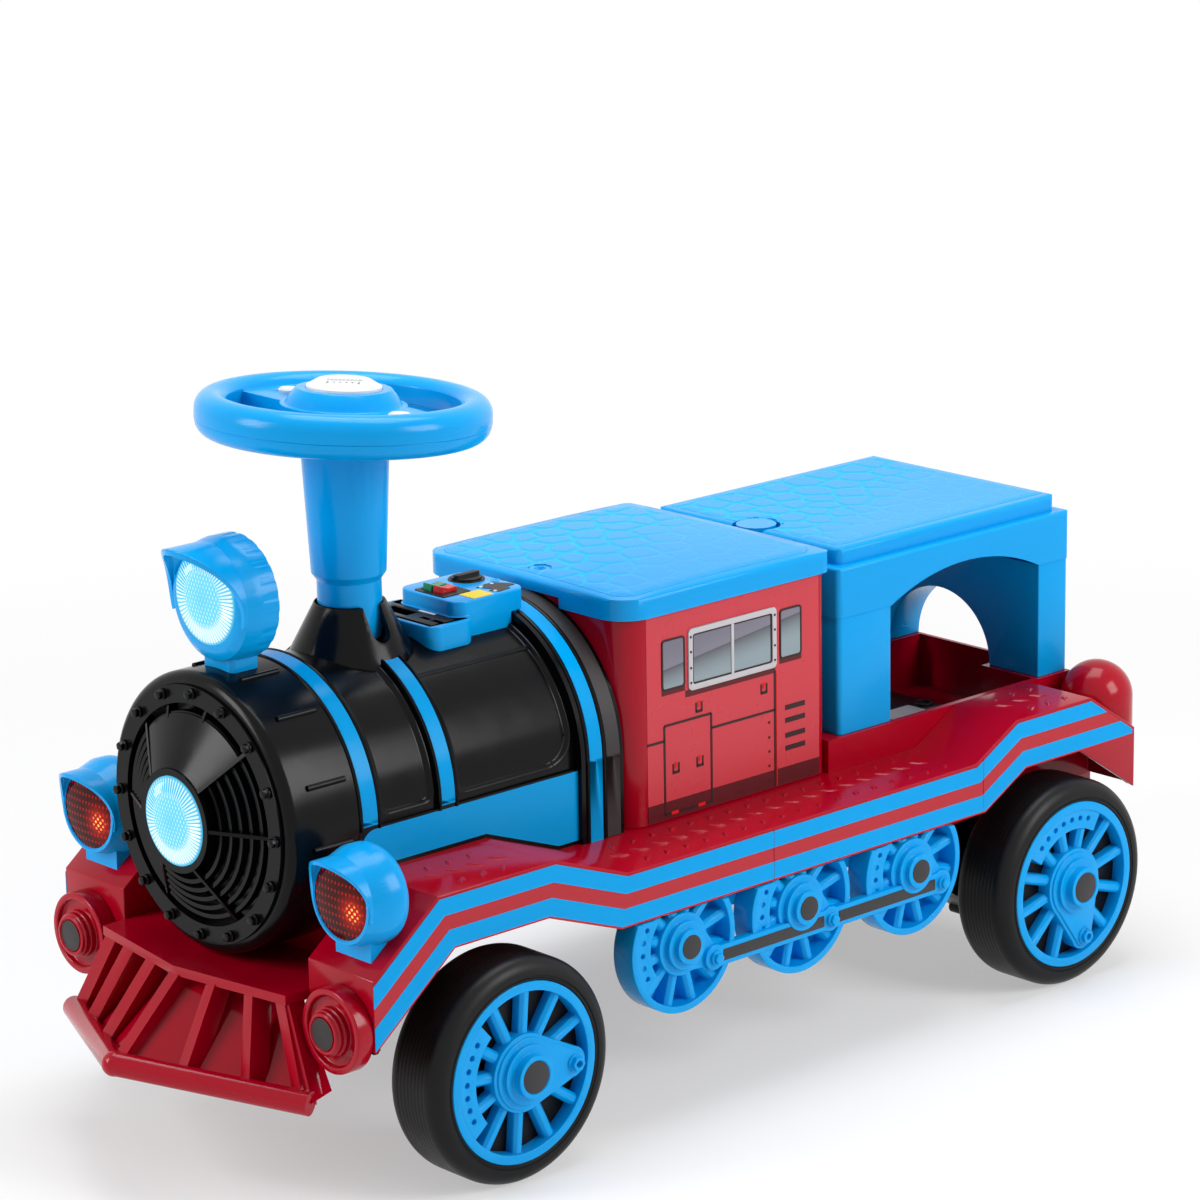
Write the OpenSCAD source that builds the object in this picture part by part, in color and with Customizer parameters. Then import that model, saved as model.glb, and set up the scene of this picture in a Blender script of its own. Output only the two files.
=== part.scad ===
// Ride-on toy train: moulded running board on four wheels, boiler, cab and a lift-off bench.
// X points forward, Y to the rider's left, Z up; the origin is on the floor under the middle.

/* [Wheels] */
// Distance between the two axles
wheelbase = 660; // [600:1:720]
// Front axle, forward of the middle
front_axle_x = 273; // [262:1:284]
// Tyre radius, which is also the axle height
tyre_r = 95; // [88:1:100]
// Tyre width
tyre_w = 61; // [52:1:66]
// Outer face of the tyres from the centre plane
wheel_face_y = 226; // [222:1:236]
// Round shoulder of the tread
shoulder_r = 13; // [6:1:18]
// Radius of the spindles and the rear axle
axle_r = 5; // [4:0.5:6]
// Radial running clearance on shafts and pins
run_gap = 0.05; // [0.02:0.01:0.09]
// Outer radius of the spoked cover
rim_r = 76; // [70:1:80]
// Radial width of the cover's rim
rim_w = 8; // [5:0.5:11]
// Depth of the spoked cover behind the tyre face
cover_depth = 14; // [10:1:18]
// Number of spokes
spoke_n = 12; // [8:1:16]
// Width of one spoke
spoke_w = 10; // [7:0.5:12]
// Radius of the hub plate
hub_plate_r = 33; // [28:1:38]
// Height of the hub nose outside the tyre face
hub_reach = 14; // [10:1:18]
// Radius from the hub to the crank bolt
crank_reach = 52; // [48:1:56]
// Inner radius of the counterweight
weight_r = 51; // [48:1:58]

/* [Running board] */
// Outer face of the side skirts
skirt_y = 202; // [196:1:212]
// Height of the footboard
deck_z = 225; // [218:1:232]
// Height of the deck over the wheels
arch_z = 254; // [248:1:262]
// Height of the front corners
nose_z = 200; // [194:1:206]
// Height of the tail end
tail_z = 214; // [208:1:220]
// Lower edge of the front corners
nose_low_z = 140; // [132:1:148]
// Height of the striped skirt band
band_h = 47; // [40:1:50]
// Front face of the beam, ahead of the front axle
nose_reach = 134; // [128:1:140]
// Tail wall, behind the rear axle
tail_reach = 108; // [102:1:114]
// Wall of the moulded shells
wall = 4; // [3:0.5:5]
// Gap between the boiler drum and the front beam blocks
well_play = 4; // [2:0.5:6]

/* [Boiler] */
// Height of the boiler axis
boiler_z = 294.4; // [288:0.2:300]
// Radius of the hoops and of the smokebox drum
hoop_r = 117; // [112:0.5:119]
// Depth of the barrel panels below the hoops
panel_depth = 7; // [4:0.5:9]
// Step of the rear flange outside the hoops
flange_step = 5; // [2:0.5:8]
// Front plane of the smokebox ring
smokebox_x = 419; // [414:1:426]
// Bolt circle radius
bolt_circle_r = 101; // [97:0.5:104]
// Number of smokebox bolts
bolt_n = 16; // [12:1:20]
// Outer radius of the grille
grille_r = 92; // [86:1:94]
// Number of louvre rings
louvre_n = 5; // [4:1:6]
// Radius of the centre lens
lens_r = 37; // [32:1:40]
// How far the grille cone stands forward
cone_reach = 24; // [16:1:28]

/* [Lamps] */
// Radius of the headlamp lens
head_lens_r = 38; // [34:0.5:40]
// Height of the headlamp axis above the hoops
head_rise = 56.3; // [54:0.1:62]
// Headlamp lens plane
head_x = 402; // [396:1:408]
// Side lamps from the centre plane
side_lamp_y = 165; // [160:1:170]
// Height of the side lamps
side_lamp_z = 258; // [254:1:262]
// Radius of a side lamp lens
side_lens_r = 31.5; // [28:0.5:33]
// Height of the front buffers
buffer_z = 154; // [150:1:158]
// Radius of the front buffers
buffer_r = 35; // [30:1:36]

/* [Cab and bench] */
// Front face of the cab
cab_front_x = 65; // [60:1:68]
// Length of the cab
cab_len = 239; // [230:1:244]
// Half width of the cab
cab_half = 125; // [120:1:128]
// Top edge of the cab walls
cab_top_z = 416; // [410:1:420]
// Round vertical corners at the cab's front
cab_corner_r = 25; // [18:1:32]
// Round vertical corners at the cab's rear
cab_rear_r = 9; // [6:1:18]
// Overhang of the roof seat
roof_over = 5; // [3:0.5:8]
// Gap between the cab and the bench
bench_gap = 17; // [14:1:20]
// Bench end, ahead of the tail wall
bench_tail = 3; // [2:0.5:8]
// Half width of the bench
bench_half = 124; // [120:1:126]
// Parting line between bench top and legs
bench_split_z = 360; // [350:1:368]
// Shoulder of the bench top
bench_ledge_z = 405; // [400:1:410]
// Sitting surface of the bench
bench_top_z = 420; // [414:1:424]
// Length of a front leg along the train
front_leg_len = 66; // [60:1:70]
// Length of a rear leg along the train
rear_leg_len = 41; // [38:1:44]
// Width of each leg
leg_w = 61; // [54:1:64]
// Depth of the leg plugs in their sockets
plug_len = 44; // [36:1:46]
// Play between a plug and its socket
plug_gap = 0.5; // [0.3:0.1:1]
// Floor of the storage tub
tub_floor_z = 205; // [200:1:208]

/* [Steering] */
// Steering column axis
column_x = 254; // [251:1:257]
// Radius of the steel column
column_r = 6; // [5:0.5:7]
// Middle height of the steering wheel rim
wheel_z = 600.5; // [590:0.5:606]
// Outer radius of the steering wheel
wheel_r = 121; // [114:1:126]
// Backward lean of the steering wheel
wheel_lean = 4; // [0:0.5:8]
// Thickness radius of the rim
grip_r = 14; // [12:0.5:16]
// Half width of the two spokes
spoke_half = 34; // [28:1:38]
// Radius of the hub boss
boss_r = 44; // [40:1:48]
// Distance of the horn buttons from the column
button_y = 70; // [66:1:74]
// Kingpins from the centre plane
kingpin_y = 148; // [146:1:149]
// Length of the knuckle arms
knuckle_arm = 45; // [42:1:48]
// Radius of the crank on the column
crank_r = 26; // [24:1:27]

/* [Hidden] */
$fn = 64;
eps = 0.01;
big = 1200;

axle_z = tyre_r;
rear_axle_x = front_axle_x - wheelbase;
nose_x = front_axle_x + nose_reach;
tail_x = rear_axle_x - tail_reach;
wheel_in_y = wheel_face_y - tyre_w;
cab_rear_x = cab_front_x - cab_len;
panel_r = hoop_r - panel_depth;
flange_r = hoop_r + flange_step;
boiler_top_z = boiler_z + hoop_r;
well_y = hoop_r + well_play;
head_z = boiler_top_z + head_rise;
bench_front_x = cab_rear_x - bench_gap;
bench_rear_x = tail_x + bench_tail;
bench_len = bench_front_x - bench_rear_x;
deck_low_z = deck_z - wall;

// The four horizontal runs of the running board, from nose to tail
arch_fore = 66;
arch_aft = 59;
arch_foot = 138;
rear_arch_fore = 51;
rear_arch_aft = 48;
rear_arch_foot = 104;
top_line = [
    [nose_x, nose_z],
    [front_axle_x + arch_fore, arch_z],
    [front_axle_x - arch_aft, arch_z],
    [front_axle_x - arch_foot, deck_z],
    [rear_axle_x + rear_arch_foot, deck_z],
    [rear_axle_x + rear_arch_fore, arch_z],
    [rear_axle_x - rear_arch_aft, arch_z],
    [tail_x, tail_z]
];

function unit(v) = v / norm(v);
function left_of(v) = [-v.y, v.x];
// Mitred point at distance d below vertex i of a line
function mitre(line, i, d) =
    let (a = left_of(unit(line[i] - line[i - 1])), b = left_of(unit(line[i + 1] - line[i])))
    line[i] + d * (a + b) / (1 + a * b);
function lowered(line, d) = [for (i = [1 : len(line) - 2]) mitre(line, i, d)];
function x_at(p, q, z) = p.x + (q.x - p.x) * (z - p.y) / (q.y - p.y);
function z_at(p, q, x) = p.y + (q.y - p.y) * (x - p.x) / (q.x - p.x);
function dropped(line, d) = [for (p = line) p - [0, d]];
function reversed(line) = [for (i = [len(line) - 1 : -1 : 0]) line[i]];

nose_low = mitre(top_line, 1, band_h);
nose_dir = top_line[0] - top_line[1];
tail_low = mitre(top_line, len(top_line) - 2, band_h);
tail_dir = top_line[len(top_line) - 1] - top_line[len(top_line) - 2];
bottom_line = concat(
    [[nose_x, nose_low_z], [x_at(nose_low, nose_low + nose_dir, nose_low_z), nose_low_z]],
    lowered(top_line, band_h),
    [[tail_x, z_at(tail_low, tail_low + tail_dir, tail_x)]]
);
tail_low_z = bottom_line[len(bottom_line) - 1].y;

// Placing helpers: a flat shape becomes a prism along X or Y
module along_x(x0, x1) {
    translate([x0, 0, 0]) rotate([90, 0, 90]) linear_extrude(x1 - x0) children();
}
module along_y(y0, y1) {
    translate([0, y1, 0]) rotate([90, 0, 0]) linear_extrude(y1 - y0) children();
}
module turn_x() {
    rotate([0, 90, 0]) children();
}
module both_sides() {
    children();
    mirror([0, 1, 0]) children();
}
module slab(x, y, z) {
    translate([x[0], y[0], z[0]]) cube([x[1] - x[0], y[1] - y[0], z[1] - z[0]]);
}
module round_rect(x, y, r) {
    translate([x[0] + r, y[0]]) square([x[1] - x[0] - 2 * r, y[1] - y[0]]);
    translate([x[0], y[0] + r]) square([x[1] - x[0], y[1] - y[0] - 2 * r]);
    for (cx = [x[0] + r, x[1] - r], cy = [y[0] + r, y[1] - r]) translate([cx, cy]) circle(r);
}
module post(x, y, h, r) {
    linear_extrude(h) round_rect(x, y, r);
}
// Flat shape with rounded upper corners
module soft_top(a, z, r) {
    translate([a[0], z[0]]) square([a[1] - a[0], z[1] - z[0] - r]);
    translate([a[0] + r, z[0]]) square([a[1] - a[0] - 2 * r, z[1] - z[0]]);
    for (c = [a[0] + r, a[1] - r]) translate([c, z[1] - r]) circle(r);
}
// Block with round upright corners and a rounded upper edge
module soft_block(x, y, z, corner, edge) {
    intersection() {
        translate([0, 0, z[0]]) post(x, y, z[1] - z[0] + 1, corner);
        along_y(y[0] - 1, y[1] + 1) soft_top(x, z, edge);
        along_x(x[0] - 1, x[1] + 1) soft_top(y, z, edge);
    }
}
// Round bar between two points
module bar(a, b, r) {
    d = b - a;
    translate(a) rotate([0, acos(d.z / norm(d)), atan2(d.y, d.x)]) cylinder(r = r, h = norm(d));
}
// Flat plate of thickness t through the first three points, with all of them as its outline
module flat_plate(pts, t) {
    u = unit(pts[1] - pts[0]);
    n = unit(cross(pts[1] - pts[0], pts[2] - pts[0]));
    v = cross(n, u);
    o = pts[0];
    multmatrix([
        [u.x, v.x, n.x, o.x],
        [u.y, v.y, n.y, o.y],
        [u.z, v.z, n.z, o.z],
        [0, 0, 0, 1]
    ]) translate([0, 0, -t / 2]) linear_extrude(t) polygon([for (p = pts) [(p - o) * u, (p - o) * v]]);
}
// Round disc of height h with a shallow dome on top
module domed_disc(r, h, dome) {
    dome_r = (r * r + dome * dome) / (2 * dome);
    rotate_extrude() intersection() {
        square([r, h + dome]);
        translate([0, h + dome - dome_r]) circle(dome_r, $fn = 720);
    }
}
// Everything under the top of the running board
module below_deck(half) {
    along_y(-half, half) polygon(concat([[nose_x, 0]], top_line, [[tail_x, 0]]));
}

// Running board
shelf_play = 3.4;
shelf_z = boiler_z - hoop_r - shelf_play;
shelf_x = 350;
tub_gap = 0.3;
tub_x = [tail_x + wall, cab_rear_x - tub_gap];
tub_y = 127;
column_play = 2;
drum_play = 1;
pedal_x = 60;
pedal_y = -165;
pedal_half = 24;
pedal_pin_r = 3;
pedal_lug = 5;
pedal_pin_z = deck_z + 7;
rear_well_y = [146, 150];
rear_well_z = tail_low_z - 6;

module band_plate(y0, y1) {
    along_y(y0, y1) polygon(concat(top_line, reversed(bottom_line)));
}

module running_board() {
    color("firebrick") difference() {
        union() {
            along_y(-skirt_y, skirt_y) polygon(concat(top_line, reversed(dropped(top_line, wall))));
            both_sides() {
                band_plate(skirt_y - wall, skirt_y);
                slab([nose_x - wall, nose_x], [well_y, skirt_y - eps], [nose_low_z, nose_z - eps]);
                along_y(well_y, well_y + wall) polygon([
                    top_line[0],
                    top_line[1],
                    [shelf_x, arch_z],
                    [shelf_x, shelf_z - 2 * wall],
                    [nose_x, shelf_z - 2 * wall]
                ]);
                slab([tail_x, tail_x + wall], [-eps, skirt_y - eps], [tail_low_z + wall, tail_z - eps]);
                slab([tail_x + eps, rear_axle_x + rear_arch_foot], rear_well_y, [rear_well_z, tail_z - wall]);
                slab(
                    [rear_axle_x - rear_arch_aft, rear_axle_x + rear_arch_fore],
                    rear_well_y,
                    [tail_z - wall - eps, arch_z - eps]
                );
            }
            for (side = [-1, 1]) translate([
                pedal_x,
                pedal_y + side * (pedal_half + pedal_lug),
                deck_z - eps
            ]) {
                slab([-5, 5], [-pedal_lug / 2, pedal_lug / 2], [0, pedal_pin_z - deck_z + 5]);
            }
        }
        slab([shelf_x, nose_x + 1], [-well_y, well_y], [0, big]);
        slab(tub_x, [-tub_y, tub_y], [0, big]);
        translate([column_x, 0, 0]) cylinder(r = column_r + column_play, h = big);
        translate([shelf_x - 2 * wall, 0, boiler_z]) turn_x() cylinder(r = hoop_r + drum_play, h = big);
        translate([pedal_x, 0, pedal_pin_z]) rotate([90, 0, 0]) {
            cylinder(r = pedal_pin_r + run_gap, h = big);
        }
    }
}

module foot_pedal() {
    reach = 62;
    rise = 15;
    plate = 5;
    color("dimgray") translate([pedal_x, pedal_y, pedal_pin_z]) {
        rotate([90, 0, 0]) translate([0, 0, -pedal_half - 1.5 * pedal_lug]) {
            cylinder(r = pedal_pin_r, h = 2 * pedal_half + 3 * pedal_lug);
        }
        along_y(-pedal_half, pedal_half) {
            circle(pedal_pin_r + 2);
            polygon([[0, 0], [reach, rise], [reach, rise + plate], [0, plate]]);
        }
        for (k = [1 : 4]) along_y(-pedal_half + 3, pedal_half - 3) {
            translate([k * reach / 5, k * rise / 5 + plate]) circle(1.5);
        }
    }
}

// Storage tub with the four leg sockets and the battery opening in its floor
leg_in_y = bench_half - leg_w;
plug_inset = 6;
front_leg_x = [bench_front_x - front_leg_len, bench_front_x];
rear_leg_x = [bench_rear_x, bench_rear_x + rear_leg_len];
socket_wall = 5;
hatch_x = [rear_leg_x[1] + 20, front_leg_x[0] - 16];
hatch_half = 55;
hatch_lip = 10;
cover_t = 3;

module plug_block(leg_x, gap, z0, z1) {
    slab(
        [leg_x[0] + plug_inset - gap, leg_x[1] - plug_inset + gap],
        [leg_in_y + plug_inset - gap, bench_half - plug_inset + gap],
        [z0, z1]
    );
}

module storage_tub() {
    mid_x = [rear_leg_x[1] + socket_wall, front_leg_x[0] - socket_wall];
    end_half = leg_in_y - socket_wall;
    color("firebrick") difference() {
        slab(tub_x, [-tub_y, tub_y], [tub_floor_z - wall, arch_z]);
        slab(mid_x, [-tub_y + 1.5 * wall, tub_y - 1.5 * wall], [tub_floor_z, big]);
        slab([tub_x[0] + wall, tub_x[1] - wall], [-end_half, end_half], [tub_floor_z, big]);
        slab(hatch_x, [-hatch_half, hatch_half], [0, big]);
        both_sides() for (leg = [front_leg_x, rear_leg_x]) {
            plug_block(leg, plug_gap, arch_z - plug_len - 1, big);
        }
    }
}

module battery_cover() {
    latch_r = 9;
    color("black") difference() {
        union() {
            slab(
                [hatch_x[0] - hatch_lip, hatch_x[1] + hatch_lip],
                [-hatch_half - hatch_lip, hatch_half + hatch_lip],
                [tub_floor_z, tub_floor_z + cover_t]
            );
            translate([hatch_x[0], 0, tub_floor_z]) cylinder(r = latch_r, h = cover_t + 2);
        }
        translate([hatch_x[0], 0, tub_floor_z + cover_t]) cylinder(r = latch_r - 3, h = big);
    }
}

// Underframe, battery and drive
frame_half = 70;
frame_z = 150;
frame_front_x = 205;
battery_size = [151, 94, 44];
bracket_y = [90, 98];
bracket_half = 35;
bracket_foot = 24;
gear_y = 158;
gear_r = 50;
motor_r = 18;
motor_x = rear_axle_x + 68;
motor_z = axle_z + 12;
motor_boss_r = motor_r + 5;

module underframe() {
    floor_x = [tub_x[0] + 20, frame_front_x];
    color("dimgray") {
        slab(floor_x, [-frame_half, frame_half], [frame_z, frame_z + wall]);
        both_sides() along_y(frame_half - wall, frame_half) polygon([
            [floor_x[0], frame_z],
            [floor_x[1], frame_z],
            [front_axle_x - arch_foot, deck_low_z],
            [tub_x[1] + wall, deck_low_z],
            [tub_x[1] + wall, tub_floor_z - wall],
            [floor_x[0], tub_floor_z - wall]
        ]);
        for (x = [-140, -20, 100]) slab(
            [x, x + wall],
            [-frame_half + wall - eps, frame_half - wall + eps],
            [frame_z + eps, deck_low_z]
        );
    }
}

module battery() {
    c = (hatch_x[0] + hatch_x[1]) / 2;
    terminal = [8, 5, 6];
    color("slategray") {
        slab(
            [c - battery_size.x / 2, c + battery_size.x / 2],
            [-battery_size.y / 2, battery_size.y / 2],
            [frame_z + wall, frame_z + wall + battery_size.z - terminal.z]
        );
        for (s = [-1, 1]) translate([c + 55, s * 32, frame_z + wall + battery_size.z - terminal.z - eps]) {
            cube([terminal.x, terminal.y, terminal.z + eps], center = false);
        }
    }
}

module rear_axle() {
    color("silver") translate([rear_axle_x, 0, axle_z]) rotate([90, 0, 0]) {
        translate([0, 0, -nut_y[1]]) cylinder(r = axle_r, h = 2 * nut_y[1]);
    }
}

module rear_axle_brackets() {
    color("dimgray") both_sides() difference() {
        along_y(bracket_y[0], bracket_y[1]) translate([rear_axle_x, axle_z]) {
            circle(bracket_foot);
            polygon([
                [-bracket_foot, 0],
                [bracket_foot, 0],
                [bracket_half, tub_floor_z - wall - axle_z],
                [-bracket_half, tub_floor_z - wall - axle_z]
            ]);
        }
        translate([rear_axle_x, 0, axle_z]) rotate([-90, 0, 0]) cylinder(r = axle_r + run_gap, h = big);
    }
}

module drive_gearbox() {
    d = [motor_x - rear_axle_x, motor_z - axle_z];
    lean = atan2(d.y, d.x);
    open = acos((gear_r - motor_boss_r) / norm(d));
    function rim(r, a) = r * [cos(a), sin(a)];
    color("black") difference() {
        union() {
            along_y(bracket_y[1], gear_y - 3) translate([rear_axle_x, axle_z]) {
                circle(gear_r);
                translate(d) circle(motor_boss_r);
                polygon([
                    rim(gear_r, lean + open),
                    d + rim(motor_boss_r, lean + open),
                    d + rim(motor_boss_r, lean - open),
                    rim(gear_r, lean - open)
                ]);
            }
            along_y(gear_y - 3 - eps, gear_y) translate([rear_axle_x, axle_z]) circle(gear_r - 8);
            for (a = [60 : 75 : 285]) along_y(bracket_y[1], gear_y - 12) {
                translate([rear_axle_x, axle_z] + rim(gear_r, lean + a)) circle(6);
            }
        }
        translate([rear_axle_x, 0, axle_z]) rotate([-90, 0, 0]) cylinder(r = axle_r + run_gap, h = big);
    }
}

module drive_motor() {
    length = 56;
    color("silver") translate([motor_x, bracket_y[1], motor_z]) rotate([90, 0, 0]) {
        cylinder(r = motor_r, h = length);
        translate([0, 0, length - eps]) cylinder(r = 6, h = 5);
    }
}

// Wheels, modelled with the axle along Z and the outer face up
nut_y = [wheel_face_y - cover_depth + 2, wheel_face_y - cover_depth + 9];
web_h = tyre_w - cover_depth;
hub_r = 18;
hub_bore_r = 13;
tyre_wall = 17;
inner_recess = 26;

module tyre() {
    color("black") rotate_extrude() difference() {
        union() {
            translate([axle_r + run_gap, 0]) square([tyre_r - shoulder_r - axle_r - run_gap, tyre_w]);
            translate([axle_r + run_gap, shoulder_r]) {
                square([tyre_r - axle_r - run_gap, tyre_w - 2 * shoulder_r]);
            }
            for (h = [shoulder_r, tyre_w - shoulder_r]) {
                translate([tyre_r - shoulder_r, h]) circle(shoulder_r);
            }
        }
        translate([0, web_h]) square([rim_r + 0.4, tyre_w]);
        translate([hub_r, -1]) square([tyre_r - tyre_wall - hub_r, inner_recess + 1]);
    }
}

module spoke(r0, r1, h) {
    edge = spoke_w * 0.28;
    translate([r0, 0, 0]) rotate([90, 0, 90]) linear_extrude(r1 - r0) polygon([
        [-spoke_w / 2, 0],
        [spoke_w / 2, 0],
        [spoke_w / 2, h - edge],
        [spoke_w / 2 - edge, h],
        [edge - spoke_w / 2, h],
        [-spoke_w / 2, h - edge]
    ]);
}

flank_inset = 0.4;
module crank_plate(r, tip_r) {
    a = acos((r - tip_r) / crank_reach);
    circle(r);
    translate([crank_reach, 0]) circle(tip_r);
    in_r = r - flank_inset;
    in_tip_r = tip_r - flank_inset;
    polygon([
        in_r * [cos(a), sin(a)],
        [crank_reach, 0] + in_tip_r * [cos(a), sin(a)],
        [crank_reach, 0] + in_tip_r * [cos(a), -sin(a)],
        in_r * [cos(a), -sin(a)]
    ]);
}

module wheel_cover() {
    spoke_h = cover_depth - 3;
    plate_h = cover_depth + 2;
    hole_n = 7;
    hole_r = 2.4;
    weight_half = 44;
    color("dodgerblue") difference() {
        union() {
            rotate_extrude() translate([rim_r - rim_w, 0]) square([rim_w, cover_depth]);
            for (k = [1 : spoke_n - 1]) rotate(k * 360 / spoke_n) {
                spoke(hub_plate_r - 6, rim_r - rim_w + 1, spoke_h);
            }
            linear_extrude(plate_h - 2) crank_plate(hub_plate_r, 13);
            linear_extrude(plate_h) crank_plate(hub_plate_r - 3, 10);
            cylinder(r = 25, h = plate_h + 4);
            cylinder(r = 18, h = cover_depth + hub_reach);
            translate([crank_reach, 0, 0]) {
                cylinder(r = 8, h = plate_h + 2);
                cylinder(r = 6.5, h = plate_h + 6, $fn = 6);
            }
            rotate(180 - weight_half) rotate_extrude(angle = 2 * weight_half) {
                translate([weight_r, 0]) square([rim_r - rim_w - weight_r + 1, cover_depth - 1]);
            }
        }
        translate([0, 0, -1]) cylinder(r = hub_bore_r, h = nut_y[1] + 3 - wheel_face_y + cover_depth);
        translate([0, 0, cover_depth + hub_reach - 1]) cylinder(r = 14, h = 2);
        translate([crank_reach, 0, plate_h + 2]) cylinder(r = 3, h = big);
        for (k = [0 : hole_n - 1]) rotate(180 + (k - (hole_n - 1) / 2) * 10.5) {
            translate([(weight_r + rim_r - rim_w) / 2 + 1, 0, cover_depth - 5]) cylinder(r = hole_r, h = big);
        }
    }
}

// A wheel piece at its axle; turn is the direction of the crank from +X towards +Z
module on_axle(x, turn) {
    translate([x, wheel_in_y, axle_z]) rotate([-90, 0, 0]) rotate(-turn) children();
}
module seated_cover() {
    translate([0, 0, web_h]) wheel_cover();
}
front_crank = 185;
rear_crank = 257;
module front_left_tyre() {
    on_axle(front_axle_x, front_crank) tyre();
}
module front_left_cover() {
    on_axle(front_axle_x, front_crank) seated_cover();
}
module front_right_tyre() {
    mirror([0, 1, 0]) front_left_tyre();
}
module front_right_cover() {
    mirror([0, 1, 0]) front_left_cover();
}
module rear_left_tyre() {
    on_axle(rear_axle_x, rear_crank) tyre();
}
module rear_left_cover() {
    on_axle(rear_axle_x, rear_crank) seated_cover();
}
module rear_right_tyre() {
    mirror([0, 1, 0]) rear_left_tyre();
}
module rear_right_cover() {
    mirror([0, 1, 0]) rear_left_cover();
}

// Push-on nuts that keep the wheels on their spindles
module push_nut(x) {
    color("silver") translate([x, nut_y[0], axle_z]) rotate([-90, 0, 0]) difference() {
        cylinder(r = 10, h = nut_y[1] - nut_y[0] - 2);
        translate([0, 0, -1]) cylinder(r = axle_r + run_gap, h = big);
    }
}
module front_left_nut() {
    push_nut(front_axle_x);
}
module front_right_nut() {
    mirror([0, 1, 0]) push_nut(front_axle_x);
}
module rear_nuts() {
    both_sides() push_nut(rear_axle_x);
}

// Front axle, kingpins, knuckles and the tie rod
beam_half = 12;
beam_t = 8;
beam_z = axle_z + 33;
kingpin_r = 5;
sleeve_r = 11;
sleeve_z = [axle_z - 24, beam_z - 0.3];
arm_t = 8;
arm_z = beam_z - 0.3 - arm_t;
rod_pin_r = 4;
rod_x = front_axle_x - knuckle_arm;
rod_half = 8;
rod_t = 7;
rod_gap = 0.5;
slot_play = 1.2;
crank_drop = 3;

module front_axle_beam() {
    stem = [front_axle_x - 3, front_axle_x + beam_half];
    color("silver") difference() {
        union() {
            slab(
                [front_axle_x - beam_half, front_axle_x + beam_half],
                [-kingpin_y - beam_half, kingpin_y + beam_half],
                [beam_z, beam_z + beam_t]
            );
            slab(stem, [-40, 40], [beam_z + beam_t - eps, arch_z - wall]);
            slab([column_x, front_axle_x], [-14, 14], [beam_z, beam_z + beam_t]);
            translate([column_x, 0, beam_z]) cylinder(r = 14, h = beam_t);
        }
        translate([column_x, 0, 0]) cylinder(r = column_r + run_gap, h = big);
        for (s = [-1, 1]) translate([front_axle_x, s * kingpin_y, 0]) cylinder(r = kingpin_r, h = big);
    }
}

module kingpins() {
    color("gray") both_sides() translate([front_axle_x, kingpin_y, 0]) {
        translate([0, 0, sleeve_z[0] - 0.3]) {
            cylinder(r = kingpin_r, h = beam_z + beam_t - sleeve_z[0] + 0.3);
        }
        translate([0, 0, sleeve_z[0] - 6.3]) cylinder(r = 9, h = 6);
        translate([0, 0, beam_z + beam_t]) cylinder(r = 9, h = 5);
    }
}

module knuckle() {
    color("gray") difference() {
        union() {
            translate([front_axle_x, kingpin_y, sleeve_z[0]]) {
                cylinder(r = sleeve_r, h = sleeve_z[1] - sleeve_z[0]);
            }
            translate([front_axle_x, kingpin_y, axle_z]) rotate([-90, 0, 0]) {
                cylinder(r = axle_r, h = nut_y[1] - 1 - kingpin_y);
                cylinder(r = axle_r + 4, h = wheel_in_y - 1 - kingpin_y);
            }
            slab([rod_x, front_axle_x], [kingpin_y - 8, kingpin_y + 8], [arm_z, arm_z + arm_t]);
            translate([rod_x, kingpin_y, arm_z]) cylinder(r = 8, h = arm_t);
            translate([rod_x, kingpin_y, arm_z - rod_t - 3]) cylinder(r = rod_pin_r, h = rod_t + 3 + eps);
        }
        translate([front_axle_x, kingpin_y, 0]) cylinder(r = kingpin_r + run_gap, h = big);
    }
}
module left_knuckle() {
    knuckle();
}
module right_knuckle() {
    mirror([0, 1, 0]) knuckle();
}

module tie_rod() {
    rod_z = arm_z - rod_gap - rod_t;
    slot_ahead = 4;
    color("silver") translate([rod_x, 0, rod_z]) difference() {
        linear_extrude(rod_t) {
            square([2 * rod_half, 2 * kingpin_y], center = true);
            for (s = [-1, 1]) translate([0, s * kingpin_y]) circle(rod_half + 1);
            square([4 * rod_half, 34], center = true);
        }
        translate([0, kingpin_y, -1]) cylinder(r = rod_pin_r + run_gap, h = big);
        translate([0, -kingpin_y, -1]) cylinder(r = rod_pin_r + 0.3, h = big);
        for (x = [-1, slot_ahead]) translate([x, 0, -1]) cylinder(r = rod_pin_r + slot_play, h = big);
        slab(
            [-1, slot_ahead],
            [-rod_pin_r - slot_play, rod_pin_r + slot_play],
            [-1, rod_t + 1]
        );
    }
}

module steering_shaft() {
    rod_z = arm_z - rod_gap - rod_t;
    crank_z = rod_z + rod_t + crank_drop;
    color("silver") {
        translate([column_x, 0, crank_z]) cylinder(r = column_r, h = wheel_z - 1 - crank_z);
        translate([column_x, 0, crank_z]) linear_extrude(beam_z - 0.3 - crank_z) {
            circle(11);
            translate([-crank_r, -7]) square([crank_r, 14]);
            translate([-crank_r, 0]) circle(7);
        }
        translate([column_x - crank_r, 0, rod_z - 2]) cylinder(r = rod_pin_r, h = crank_z - rod_z + 2 + eps);
    }
}

// Steering column sleeve and steering wheel
collar_r = 26.7;
sleeve_low_r = 31;
sleeve_top_r = 37.5;
sleeve_low_z = boiler_top_z + 54.6;
collar_low_z = boiler_top_z + 0.6;

rim_drop = 8.5;
dish_z = [-grip_r - 4, 5];
split_z = -8;
seam = 0.5;
boss_top_z = 18;
cap_r = 31;

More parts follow.
